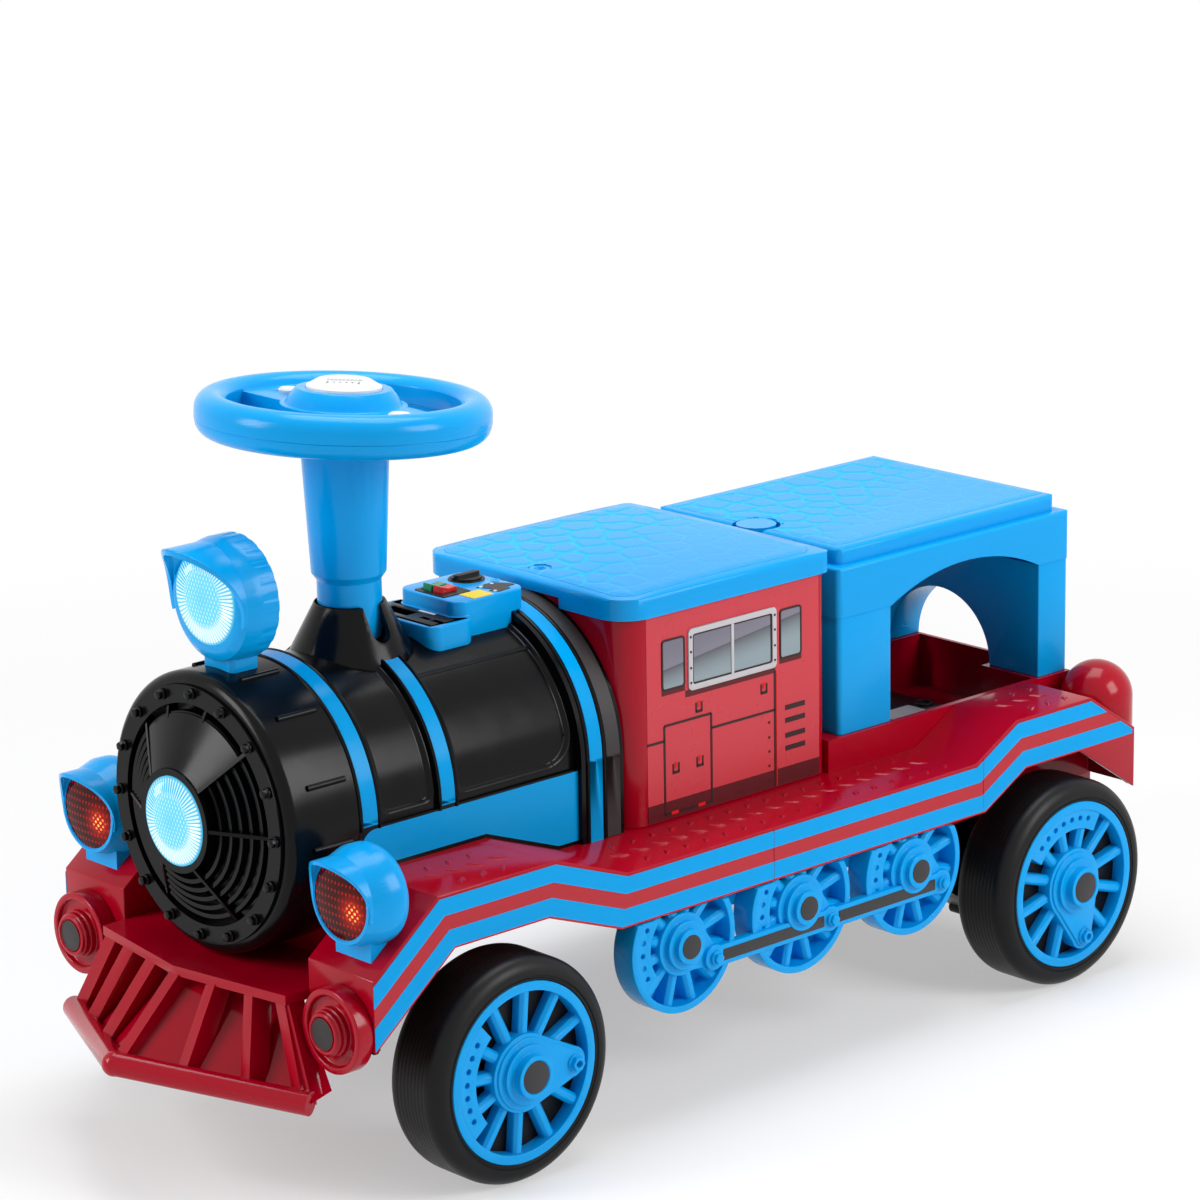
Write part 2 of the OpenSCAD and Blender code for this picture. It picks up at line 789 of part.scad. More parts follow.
// Leaning frame of the steering wheel, with its middle at the origin
module on_column() {
    translate([column_x, 0, wheel_z]) rotate([0, -wheel_lean, 0]) children();
}
module column_bore() {
    translate([column_x, 0, 0]) cylinder(r = column_r + run_gap, h = wheel_z);
}
module steering_sleeve() {
    top_z = wheel_z + dish_z[0] + 10;
    color("dodgerblue") difference() {
        translate([column_x, 0, 0]) rotate_extrude() {
            translate([0, collar_low_z]) square([collar_r, sleeve_low_z - collar_low_z]);
            polygon([
                [0, sleeve_low_z - 6],
                [collar_r, sleeve_low_z - 6],
                [sleeve_low_r, sleeve_low_z],
                [sleeve_top_r, top_z],
                [0, top_z]
            ]);
        }
        column_bore();
        on_column() slab([-big, big], [-big, big], [dish_z[0], big]);
    }
}

button_r = 9;
button_gap = 0.4;
button_travel = 2;
button_top_z = dish_z[1] + 3;
button_low_z = dish_z[1] - 8;

module wheel_form(inset) {
    difference() {
        union() {
            rotate_extrude() translate([wheel_r - grip_r, 0]) {
                circle(grip_r - inset);
                translate([inset - grip_r, -rim_drop]) square([2 * (grip_r - inset), rim_drop]);
                translate([0, -rim_drop]) circle(grip_r - inset);
            }
            translate([0, 0, dish_z[0]]) cylinder(r = wheel_r - grip_r - 2, h = dish_z[1] - dish_z[0]);
            rotate_extrude() polygon([
                [0, dish_z[0]],
                [boss_r + 4, dish_z[0]],
                [boss_r + 4, dish_z[1]],
                [boss_r, boss_top_z - 6],
                [boss_r - 5, boss_top_z],
                [0, boss_top_z]
            ]);
        }
        for (s = [-1, 1]) difference() {
            translate([0, 0, dish_z[0] - 1]) cylinder(r = wheel_r - 2 * grip_r + 2, h = big);
            translate([0, 0, -big]) cylinder(r = boss_r + 8, h = 2 * big);
            slab([s > 0 ? -big : -spoke_half, s > 0 ? spoke_half : big], [-big, big], [-big, big]);
        }
        translate([0, 0, boss_top_z - 8]) cylinder(r = cap_r + 0.3, h = big);
        for (s = [-1, 1]) translate([0, s * button_y, button_low_z - button_travel - 1]) {
            cylinder(r = button_r + button_gap, h = big);
        }
    }
}

module steering_wheel_bottom() {
    color("dodgerblue") difference() {
        on_column() intersection() {
            wheel_form(seam);
            slab([-big, big], [-big, big], [-big, split_z]);
        }
        column_bore();
    }
}
module steering_wheel_top() {
    color("dodgerblue") difference() {
        on_column() intersection() {
            wheel_form(0);
            slab([-big, big], [-big, big], [split_z, big]);
        }
        column_bore();
    }
}
module speaker_cap() {
    slot_n = 6;
    slot_turn = 47;
    color("gainsboro") on_column() difference() {
        union() {
            translate([0, 0, boss_top_z - 8]) cylinder(r = cap_r, h = 10);
            translate([0, 0, boss_top_z + 2 - eps]) cylinder(r1 = cap_r - 0.5, r2 = cap_r - 9, h = 5);
        }
        rotate(slot_turn) for (k = [0 : slot_n - 1]) {
            translate([13, (k - (slot_n - 1) / 2) * 5 - 1, boss_top_z + 4.5]) cube([6, 2, big]);
        }
    }
}
module horn_button(s) {
    color("whitesmoke") on_column() translate([0, s * button_y, 0]) {
        translate([0, 0, button_low_z]) cylinder(r = button_r, h = button_top_z - button_low_z - 1.5);
        translate([0, 0, button_top_z - 1.5 - eps]) cylinder(r1 = button_r, r2 = button_r - 1.5, h = 1.5);
    }
}
module left_button() {
    horn_button(1);
}
module right_button() {
    horn_button(-1);
}

// Boiler
seat = 0.2;
hoops = [[324, 347], [243, 264]];
flange_x = [cab_front_x, 112];
barrel_front_x = 347;
drum_x = shelf_x - 5;
apron_top_z = 290;

module tunnel(r, half, low) {
    translate([0, boiler_z]) circle(r);
    translate([-half, low]) square([2 * half, boiler_z - low]);
}

module boiler_form(gap) {
    difference() {
        union() {
            along_x(flange_x[0], barrel_front_x) {
                translate([0, boiler_z]) circle(panel_r + gap);
                translate([-hoop_r - gap, deck_z]) square([2 * (hoop_r + gap), apron_top_z - deck_z]);
            }
            for (h = hoops) along_x(h[0], h[1]) tunnel(hoop_r + gap, hoop_r + gap, deck_z);
            along_x(flange_x[0], flange_x[1]) tunnel(flange_r + gap, flange_r + gap, deck_z);
        }
        below_deck(2 * hoop_r);
    }
    round = 9;
    translate([0, 0, boiler_z]) turn_x() rotate_extrude() {
        translate([0, drum_x]) square([hoop_r + gap, smokebox_x - 3 - round - drum_x]);
        translate([0, drum_x]) square([hoop_r + gap - round, smokebox_x - 3 - drum_x]);
        translate([hoop_r + gap - round, smokebox_x - 3 - round]) circle(round);
    }
}

module boiler_shell() {
    ridge_r = 2.5;
    front_wall_x = smokebox_x - 22;
    color("black") difference() {
        union() {
            boiler_form(0);
            for (a = [-5, 20, 50, 75, 105, 130, 160, 185]) bar(
                [hoops[0][1] + 8, hoop_r * cos(a), boiler_z + hoop_r * sin(a)],
                [smokebox_x - 26, hoop_r * cos(a), boiler_z + hoop_r * sin(a)],
                ridge_r
            );
            for (a = [55, 125]) bar(
                [flange_x[1], panel_r * cos(a), boiler_z + panel_r * sin(a)],
                [hoops[1][0], panel_r * cos(a), boiler_z + panel_r * sin(a)],
                ridge_r
            );
        }
        along_x(flange_x[0] + wall, front_wall_x) translate([0, boiler_z]) circle(panel_r - wall);
        along_x(flange_x[0] + wall, drum_x - wall) {
            translate([wall - hoop_r, deck_z - wall]) square([2 * (hoop_r - wall), apron_top_z - deck_z]);
        }
        translate([front_wall_x + wall, 0, boiler_z]) turn_x() cylinder(r = grille_r, h = big);
        translate([smokebox_x - 12, 0, boiler_z]) turn_x() cylinder(r = ring_r + 0.3, h = big);
        translate([column_x, 0, boiler_z]) cylinder(r = collar_r + 3, h = big);
    }
}

// Smokebox front: bolted ring, conical louvred grille, plain top sector and lens bezel
ring_r = 107;
bezel_r = lens_r + 6;
louvre_t = 3.4;
louvre_h = 7;
rib_t = 3;
sector = [45, 135];

function cone_x(r) = smokebox_x - 4 + cone_reach * (grille_r - r) / (grille_r - bezel_r);

module spun() {
    translate([0, 0, boiler_z]) turn_x() children();
}
module smokebox_front() {
    pitch = (grille_r - bezel_r) / (louvre_n + 1);
    color("black") {
        spun() rotate_extrude() {
            translate([grille_r, smokebox_x - 12]) square([ring_r - grille_r, 12]);
            translate([lens_r + 0.5, cone_x(bezel_r) - 10]) square([bezel_r - lens_r - 0.5, 13]);
            for (k = [1 : louvre_n]) {
                translate([bezel_r + k * pitch - louvre_t / 2, cone_x(bezel_r + k * pitch) - louvre_h]) {
                    square([louvre_t, louvre_h]);
                }
            }
        }
        spun() rotate(sector[0] + 90) rotate_extrude(angle = sector[1] - sector[0]) polygon([
            [bezel_r - 1, cone_x(bezel_r) - 5],
            [grille_r - pitch, cone_x(grille_r - pitch) - 5],
            [grille_r - pitch, cone_x(grille_r - pitch) + 1],
            [bezel_r - 1, cone_x(bezel_r) + 1]
        ]);
        for (a = [0, 45, 135, 180, 240, 300]) grille_rib(a, bezel_r - 2);
        for (a = [80, 112]) grille_rib(a, grille_r - pitch - 2);
    }
}
module grille_rib(a, r0) {
    deep = louvre_h + 2;
    proud = 1.6;
    spun() rotate(a + 90) rotate([90, 0, 0]) translate([0, 0, -rib_t / 2]) linear_extrude(rib_t) polygon([
        [r0, cone_x(r0) - deep],
        [grille_r + 2, cone_x(grille_r) - deep + 2],
        [grille_r + 2, cone_x(grille_r) + proud],
        [r0, cone_x(r0) + proud]
    ]);
}
module smokebox_bolts() {
    color("black") for (k = [0 : bolt_n - 1]) spun() rotate(k * 360 / bolt_n) {
        translate([bolt_circle_r, 0, smokebox_x]) {
            cylinder(r = 4.6, h = 2);
            translate([0, 0, 2 - eps]) cylinder(r = 4, h = 4, $fn = 6);
        }
    }
}
module boiler_lens() {
    dome = 5;
    x0 = cone_x(bezel_r) - 8;
    x1 = cone_x(bezel_r) + 3;
    color("lightcyan") spun() translate([0, 0, x0]) domed_disc(lens_r, x1 - x0, dome);
}

// Headlamp on the boiler top
head_r = head_lens_r + 13;
head_len = 35;
head_back_x = head_x - head_len;
head_taper = 2.5;
lens_lift = 3;
hood_reach = 36;
hood_wall = 7.5;
hood_from_x = head_x - 2;
stalk_x = [head_x - 38, head_x - 9];
stalk_half = 19;

// Side view of what is cut off a hood: a round bite above and a straight cut below
module hood_bite(reach, r) {
    bite_r = (r * r + reach * reach) / (2 * reach);
    translate([bite_r, 0]) circle(bite_r);
    translate([-6, -3 * r]) square([2 * bite_r, 3 * r - 4]);
}
module headlamp_housing() {
    flute_r = 14;
    flute_n = 22;
    hood_r = head_r - head_taper - 0.1;
    color("dodgerblue") difference() {
        union() {
            translate([head_back_x, 0, head_z]) turn_x() rotate_extrude() polygon([
                [0, 0],
                [head_r, 0],
                [head_r, head_len / 2],
                [head_r - head_taper, head_len - 5],
                [head_r - 10, head_len],
                [0, head_len]
            ]);
            difference() {
                translate([head_back_x + 22, 0, head_z]) turn_x() {
                    cylinder(r = hood_r, h = head_len - 22 + hood_reach - 4);
                }
                along_y(-2 * head_r, 2 * head_r) translate([hood_from_x, head_z]) {
                    hood_bite(hood_reach, hood_r);
                }
                translate([head_x - 4, 0, head_z]) turn_x() cylinder(r = hood_r - hood_wall, h = big);
            }
            translate([0, 0, boiler_z + panel_r]) {
                post(stalk_x, [-stalk_half, stalk_half], head_z - head_r / 2 - boiler_z - panel_r, 5);
            }
        }
        translate([head_x - 8, 0, head_z + lens_lift]) turn_x() cylinder(r = head_lens_r + 0.3, h = big);
        translate([head_back_x + wall, 0, head_z + lens_lift]) turn_x() {
            cylinder(r = head_lens_r - 3, h = big);
        }
        boiler_form(seat);
        for (k = [2 : flute_n - 2]) translate([head_back_x - 1, 0, head_z]) turn_x() {
            rotate(k * 360 / flute_n) translate([head_r + flute_r - 0.6, 0, 0]) {
                cylinder(r = flute_r, h = 16);
            }
        }
    }
}
module lamp_lens(r, x, z, dome) {
    translate([x - 8, 0, z]) turn_x() domed_disc(r, 8, dome);
}
module headlamp_lens() {
    color("lightcyan") lamp_lens(head_lens_r, head_x, head_z + lens_lift, 4);
}

// Side lamps on the front beam
lamp_r = side_lens_r + 10;
lamp_len = 43;
lamp_x = nose_x;
lamp_round = 14;
lamp_flare = 6.5;
lamp_hood = 21;
lamp_wall = 3.5;
lamp_foot_half = 21.5;

module lamp_housing() {
    rear = lamp_len - lamp_round;
    rim_x = lamp_x + 1;
    hood_r = lamp_r - lamp_flare + 1.2;
    color("dodgerblue") difference() {
        union() {
            translate([rim_x, side_lamp_y, side_lamp_z]) rotate([0, -90, 0]) rotate_extrude() {
                polygon([[0, 0], [lamp_r - lamp_flare, 0], [lamp_r, 20], [lamp_r, rear], [0, rear]]);
                square([lamp_r - lamp_round, lamp_len]);
                translate([lamp_r - lamp_round, rear]) circle(lamp_round);
            }
            difference() {
                translate([rim_x - 8, side_lamp_y, side_lamp_z]) turn_x() {
                    cylinder(r = hood_r, h = lamp_hood + 6);
                }
                along_y(0, 2 * side_lamp_y) translate([rim_x - 1, side_lamp_z]) hood_bite(lamp_hood, hood_r);
            }
            slab(
                [lamp_x - 38, lamp_x - 11],
                [side_lamp_y - lamp_foot_half, side_lamp_y + lamp_foot_half],
                [nose_z - 20, side_lamp_z - 20]
            );
        }
        translate([rim_x - 0.5, side_lamp_y, side_lamp_z]) turn_x() cylinder(r = hood_r - lamp_wall, h = big);
        translate([lamp_x - 8, side_lamp_y, side_lamp_z]) turn_x() cylinder(r = side_lens_r + 0.3, h = big);
        below_deck(skirt_y);
    }
}
module left_lamp_housing() {
    lamp_housing();
}
module right_lamp_housing() {
    mirror([0, 1, 0]) lamp_housing();
}
module side_lens() {
    color("red") translate([0, side_lamp_y, 0]) lamp_lens(side_lens_r, lamp_x, side_lamp_z, 3);
}
module left_lamp_lens() {
    side_lens();
}
module right_lamp_lens() {
    mirror([0, 1, 0]) side_lens();
}

// Front buffers and cowcatcher
module buffers() {
    depth = 16;
    boss = 24;
    color("firebrick") both_sides() translate([nose_x, side_lamp_y + 1, buffer_z]) turn_x() rotate_extrude() {
        difference() {
            square([buffer_r, depth]);
            translate([buffer_r / 2 + 2, depth - 5]) square([buffer_r / 2 - 8, 6]);
        }
        square([buffer_r / 2 + 1, boss - 3]);
        difference() {
            square([buffer_r / 2, boss]);
            translate([0, boss - 1]) square([buffer_r / 2 - 4, 2]);
        }
    }
}

catcher_half = well_y - 1;
catcher_tip_half = 156;
catcher_top_x = [430, 449];
catcher_low_x = [437, 511.4];
catcher_low_z = [95, 107];
catcher_bar_r = 10;
slat_w = 12;
slat_depth = 20;
joint_swell = 0.6;

module cowcatcher() {
    tip = [catcher_low_x[0], catcher_tip_half, catcher_low_z[0]];
    apex = [catcher_low_x[1], 0, catcher_low_z[1]];
    top_mid = [catcher_top_x[1] - 3, 0, shelf_z - wall];
    top_end = [catcher_top_x[0] - 3, catcher_half - 4, shelf_z - wall];
    back = [slat_depth, 0, 0];
    foot = [catcher_bar_r - 2, 0, 0];
    color("firebrick") {
        translate([0, 0, shelf_z - 2 * wall]) linear_extrude(2 * wall) polygon([
            [shelf_x, -well_y],
            [nose_x, -well_y],
            [catcher_top_x[0], -catcher_half],
            [catcher_top_x[1], 0],
            [catcher_top_x[0], catcher_half],
            [nose_x, well_y],
            [shelf_x, well_y]
        ]);
        slat(top_mid, apex, back);
        translate(apex) sphere(catcher_bar_r + joint_swell);
        both_sides() {
            bar(tip, apex, catcher_bar_r);
            for (t = [1 / 3, 2 / 3, 0.94]) {
                slat(top_mid + (top_end - top_mid) * t, apex + (tip - apex) * t, back);
            }
            flat_plate([
                top_end,
                tip,
                tip - [tip.x - nose_x - 2, 10, 0],
                top_end - [top_end.x - nose_x - 2, 0, 0]
            ], wall);
            flat_plate([
                top_mid - back - [0, 1, 0],
                apex - foot - [0, 1, 3],
                tip - foot - [0, 3, 3],
                top_end - back
            ], wall);
        }
    }
}
// Upright rib of the cowcatcher from its top edge to its lower bar
module slat(high, low, back) {
    flat_plate([high, low, low - back, high - back], slat_w);
}

// Column shroud, console and its controls
shroud_top_r = 29.5;
shroud_low_r = 52;
shroud_top_z = boiler_top_z + 29.6;
shroud_low_z = boiler_top_z - 13.4;
shroud_foot_z = boiler_top_z - 31.4;
notch_r = 9;

module shroud_form(gap) {
    translate([0, 0, shroud_low_z]) cylinder(
        r1 = shroud_low_r + gap,
        r2 = shroud_top_r + gap,
        h = shroud_top_z - shroud_low_z
    );
    translate([0, 0, shroud_foot_z]) cylinder(r = shroud_low_r + gap, h = shroud_low_z - shroud_foot_z);
}
module chimney_cone() {
    bush_z = [collar_low_z - 12, collar_low_z - 2];
    color("black") translate([column_x, 0, 0]) difference() {
        union() {
            difference() {
                shroud_form(0);
                translate([0, 0, bush_z[1]]) cylinder(
                    r1 = shroud_top_r + 8,
                    r2 = shroud_top_r - 1,
                    h = shroud_top_z - bush_z[1] + eps
                );
                for (s = [-1, 1]) translate([0, 0, collar_low_z + 10]) {
                    rotate([90, 0, 0]) translate([0, 0, s > 0 ? 0 : -big]) {
                        cylinder(r = notch_r, h = big);
                        translate([-notch_r, 0, 0]) cube([2 * notch_r, big, big]);
                    }
                }
            }
            translate([0, 0, bush_z[0]]) cylinder(r = collar_r, h = bush_z[1] - bush_z[0]);
        }
        cylinder(r = column_r + run_gap, h = big);
        translate([-column_x, 0, 0]) boiler_form(seat);
    }
}

console_x = [94, 172];
console_half = 39;
console_z = boiler_top_z + 17.6;
step_x = [172, 207];
step_half = 47;
step_z = boiler_top_z + 4.6;
rocker_x = 153;
rocker_size = [20, 11];
rocker_y = [-12, 1];
rocker_gap = 0.4;
rocker_pin_r = 1.5;
rocker_tip = 7;
rocker_axis_z = console_z - 4;
knob_x = 113;
knob_y = -17;
knob_r = 13;
knob_stem_r = 5;
media_t = 2;

module console() {
    color("dodgerblue") difference() {
        union() {
            translate([0, 0, boiler_z]) {
                post(console_x, [-console_half, console_half], console_z - boiler_z, 13);
                post([step_x[0] - 14, step_x[1]], [-step_half, step_half], step_z - boiler_z, 12);
            }
        }
        boiler_form(seat);
        slab([0, flange_x[0] + 1], [-big, big], [0, big]);
        translate([column_x, 0, 0]) shroud_form(seat);
        slab(
            [rocker_x - rocker_size.x / 2 - rocker_gap, rocker_x + rocker_size.x / 2 + rocker_gap],
            [rocker_y[0] - rocker_size.y / 2 - rocker_gap, rocker_y[1] + rocker_size.y / 2 + rocker_gap],
            [console_z - 10, big]
        );
        translate([rocker_x, 0, rocker_axis_z]) rotate([90, 0, 0]) {
            cylinder(r = rocker_pin_r + run_gap, h = 44, center = true);
        }
        translate([knob_x, knob_y, console_z - 10]) cylinder(r = knob_stem_r + run_gap, h = big);
        slab(
            [step_x[0] + 4, step_x[1] - 5],
            [-step_half + 7, step_half - 7],
            [step_z - media_t, big]
        );
    }
}
module media_panel() {
    port = [12, 5];
    color("black") difference() {
        slab(
            [step_x[0] + 4, step_x[1] - 5],
            [-step_half + 7, step_half - 7],
            [step_z - media_t, step_z + 1]
        );
        for (y = [14, 28]) translate([step_x[0] + 16, y, step_z - 1]) {
            cube([port.y, port.x, big]);
        }
        translate([step_x[0] + 10, -30, step_z - 0.5]) cube([14, 32, big]);
    }
}
module key_knob() {
    color("black") translate([knob_x, knob_y, 0]) {
        translate([0, 0, console_z - 9]) cylinder(r = knob_stem_r, h = 10);
        translate([0, 0, console_z + 0.4]) cylinder(r = knob_r, h = 2);
        translate([0, 0, console_z + 2.4 - eps]) linear_extrude(3) {
            square([2 * knob_r - 6, 7], center = true);
            for (s = [-1, 1]) translate([s * (knob_r - 3), 0]) circle(3.5);
        }
    }
}
module rocker(y) {
    half = rocker_size.x / 2 - 1.5;
    translate([rocker_x, y, rocker_axis_z]) along_y(-rocker_size.y / 2, rocker_size.y / 2) {
        rotate(rocker_tip) polygon([
            [-half, 0],
            [-half, 9],
            [0, 7.4],
            [half, 9],
            [half, 0],
            [3, -3],
            [-3, -3]
        ]);
    }
}
module rocker_pin(y0, y1) {
    translate([rocker_x, y1, rocker_axis_z]) rotate([90, 0, 0]) cylinder(r = rocker_pin_r, h = y1 - y0);
}
module green_rocker() {
    color("seagreen") {
        rocker(rocker_y[0]);
        rocker_pin(rocker_y[0] - rocker_size.y / 2 - 4, rocker_y[0]);
    }
}
module red_rocker() {
    color("red") {
        rocker(rocker_y[1]);
        rocker_pin(rocker_y[1], rocker_y[1] + rocker_size.y / 2 + 4);
    }
}

// Cab and roof seat
// Plan of the cab, grown by a margin
module cab_plan(margin) {
    x = [cab_rear_x - margin, cab_front_x + margin];
    half = cab_half + margin;
    rear_r = cab_rear_r + margin;
    front_r = cab_corner_r + margin;
    translate([x[0] + rear_r, -half]) square([x[1] - x[0] - rear_r - front_r, 2 * half]);
    translate([x[0], rear_r - half]) square([rear_r + 1, 2 * (half - rear_r)]);
    translate([x[1] - front_r - 1, front_r - half]) square([front_r + 1, 2 * (half - front_r)]);
    for (s = [-1, 1]) {
        translate([x[0] + rear_r, s * (half - rear_r)]) circle(rear_r);
        translate([x[1] - front_r, s * (half - front_r)]) circle(front_r);
    }
}
module cab_shell() {
    color("firebrick") translate([0, 0, deck_z]) difference() {
        linear_extrude(cab_top_z - deck_z) cab_plan(0);
        translate([0, 0, -1]) linear_extrude(big) cab_plan(-wall);
    }
}
roof_lip = 8.5;
roof_edge = 9;
roof_crown = 5;
roof_round = 9;
roof_pitch = 6;
// Flat shape with rounded upper corners under a low ridge
module pitched_top(a, z, r) {
    soft_top(a, z, r);
    polygon([
        [a[0] + r, z[1] - r],
        [a[0] + r, z[1]],
        [(a[0] + a[1]) / 2, z[1] + roof_pitch],
        [a[1] - r, z[1]],
        [a[1] - r, z[1] - r]
    ]);
}
module cab_roof() {
    x = [cab_rear_x - roof_over, cab_front_x + roof_over];
    half = cab_half + roof_over;
    reach = norm([x[1] - x[0], 2 * half]) / 2;
    top = cab_top_z + roof_edge + roof_crown;
    roof_shoulder = top - 1.7;
    lip_low = cab_top_z - roof_lip - boiler_z;
    notch_half = sqrt(max(1, pow(flange_r + 2, 2) - pow(lip_low, 2)));
    notch_top = max(cab_top_z, boiler_z + flange_r) + 2 * seat;
    color("dodgerblue") difference() {
        intersection() {
            translate([0, 0, cab_top_z - roof_lip]) {
                linear_extrude(roof_lip + roof_edge + 2 * roof_crown) cab_plan(roof_over);
            }
            along_y(-half - 1, half + 1) pitched_top(x, [cab_top_z - roof_lip, roof_shoulder], roof_round);
            along_x(x[0] - 1, x[1] + 1) {
                pitched_top([-half, half], [cab_top_z - roof_lip, roof_shoulder], roof_round);
            }
            translate([(x[0] + x[1]) / 2, 0, cab_top_z - roof_lip - 1]) {
                domed_disc(reach, roof_lip + roof_edge + 1, roof_crown, $fn = 160);
            }
        }
        translate([0, 0, cab_top_z - roof_lip - 1]) linear_extrude(roof_lip + 1) cab_plan(seat);
        slab([cab_front_x - 1, big], [-notch_half, notch_half], [0, notch_top]);
        translate([cab_front_x - 20, 0, top - 6]) cylinder(r1 = 3, r2 = 7, h = 7);
    }
}

// Wheel trims along the skirts
trim_y = [182, 205];
trim_hub_y = 214;
trim_r = 59;
trim_z = 149;
trim_pitch = 138;
trim_x = 76;
trim_pin = [-33, -19];
trim_top_z = deck_z - band_h - 1;

module trim_wheel() {
    rim = 6;
    depth = trim_y[1] - trim_y[0];
    rotate_extrude() translate([trim_r - rim, 0]) square([rim, depth]);
    cylinder(r = trim_r - rim + 1, h = wall);
    for (k = [0 : spoke_n - 1]) rotate(k * 360 / spoke_n + 15) spoke(20, trim_r - rim + 1, depth - 4);
    rotate(atan2(-trim_pin.y, trim_pin.x)) linear_extrude(depth - 1) {
        circle(27);
        polygon([[0, 27], [0, -27], [norm(trim_pin), -9], [norm(trim_pin), 9]]);
    }
    cylinder(r = 21, h = depth + 4);
    cylinder(r = 15, h = trim_hub_y - trim_y[0]);
    difference() {
        rotate(-42) rotate_extrude(angle = 84) translate([36, 0]) square([trim_r - rim - 35, depth - 2]);
        for (k = [-2 : 2]) rotate(k * 14) translate([45, 0, depth - 6]) cylinder(r = 2.2, h = big);
    }
}
module wheel_trim() {
    rod_half_h = 9;
    pins = [for (k = [0 : 2]) [trim_x - k * trim_pitch + trim_pin.x, trim_z + trim_pin.y]];
    color("dodgerblue") {
        difference() {
            for (k = [0 : 2]) translate([trim_x - k * trim_pitch, trim_y[0], trim_z]) {
                rotate([-90, 0, 0]) trim_wheel();
            }
            slab([-big, big], [0, big], [trim_top_z, big]);
        }
        along_y(trim_y[1] - 6, trim_y[1] + 3) {
            translate([pins[2].x, pins[2].y - rod_half_h]) square([pins[0].x - pins[2].x, 2 * rod_half_h]);
            for (p = pins) translate(p) circle(11);
        }
        for (p = pins) translate([p.x, trim_y[1] + 3 - eps, p.y]) rotate([-90, 0, 0]) {
            cylinder(r = 6.5, h = 3);
            cylinder(r = 5, h = 6, $fn = 6);
        }
        slab(
            [trim_x - 2 * trim_pitch - trim_r + 20, trim_x + trim_r - 20],
            [trim_y[0] - wall, trim_y[0]],
            [trim_z + 10, deck_z - wall]
        );
    }
}
module left_wheel_trim() {
    wheel_trim();
}
module right_wheel_trim() {
    mirror([0, 1, 0]) wheel_trim();
}

// Round posts at the rear corners
dome_r = 33;
dome_y = 160;
dome_x = tail_x + 5;
dome_z = 237;
module tail_domes() {
    color("firebrick") both_sides() difference() {
        translate([dome_x, dome_y, 0]) {
            translate([0, 0, tail_low_z + 20]) cylinder(r = dome_r, h = dome_z - tail_low_z - 20);
            translate([0, 0, dome_z]) sphere(dome_r);
        }
        below_deck(skirt_y);
        slab([tail_x, tail_x + 3 * dome_r], [-tub_y, tub_y], [0, arch_z]);
    }
}

// Lift-off bench
bench_corner_r = 6;
bench_edge = 4;
arch_rise = 23;
bench_inset = 9;
leg_inset = 0.8;
pad_corner_r = 9;
pad_edge = 6;
cap_boss_r = 18;
cap_set = 22;
cap_moat = 4;

module bench_plan(inset, z0, z1) {
    translate([0, 0, z0]) post(
        [bench_rear_x + inset, bench_front_x - inset],
        [-bench_half + inset, bench_half - inset],
        z1 - z0,
        bench_corner_r - inset
    );
}
module bench_top() {
    span = bench_len - front_leg_len - rear_leg_len;
    mid = (front_leg_x[0] + rear_leg_x[1]) / 2;
    side_r = (span * span / 4 + arch_rise * arch_rise) / (2 * arch_rise);
    color("dodgerblue") difference() {
        union() {
            soft_block(
                [bench_rear_x, bench_front_x],
                [-bench_half, bench_half],
                [bench_split_z, bench_ledge_z],
                bench_corner_r,
                bench_edge
            );
            difference() {
                soft_block(
                    [bench_rear_x + bench_inset, bench_front_x - bench_inset],
                    [bench_inset - bench_half, bench_half - bench_inset],
                    [bench_ledge_z - eps, bench_top_z],
                    pad_corner_r,
                    pad_edge
                );
                translate([bench_front_x - cap_set, 0, bench_ledge_z]) {
                    cylinder(r = cap_boss_r + cap_moat, h = big);
                }
            }
            translate([bench_front_x - cap_set, 0, bench_ledge_z - eps]) {
                cylinder(r = cap_boss_r, h = bench_top_z - bench_ledge_z + 1);
            }
        }
        bench_plan(wall, bench_split_z - 1, bench_ledge_z - wall);
        translate([mid, 0, bench_split_z + arch_rise - side_r]) rotate([90, 0, 0]) {
            cylinder(r = side_r, h = big, center = true);
        }
    }
}
module leg_frame(leg_x) {
    mid = (leg_x[0] + leg_x[1]) / 2;
    difference() {
        union() {
            intersection() {
                bench_plan(leg_inset, arch_z, bench_split_z);
                along_x(leg_x[0], leg_x[1]) difference() {
                    translate([-bench_half, arch_z]) square([2 * bench_half, bench_split_z - arch_z]);
                    translate([0, arch_z]) circle(leg_in_y);
                }
            }
            both_sides() plug_block(leg_x, 0, arch_z - plug_len, arch_z + eps);
        }
        both_sides() {
            plug_block(leg_x, -3, arch_z - plug_len + 3, bench_split_z + 1);
            translate([mid, leg_in_y - 1, arch_z + 14]) rotate([-90, 0, 0]) cylinder(r = 3.2, h = 4);
        }
    }
}
module bench_front_legs() {
    color("dodgerblue") leg_frame(front_leg_x);
}
module bench_rear_legs() {
    color("dodgerblue") leg_frame(rear_leg_x);
}

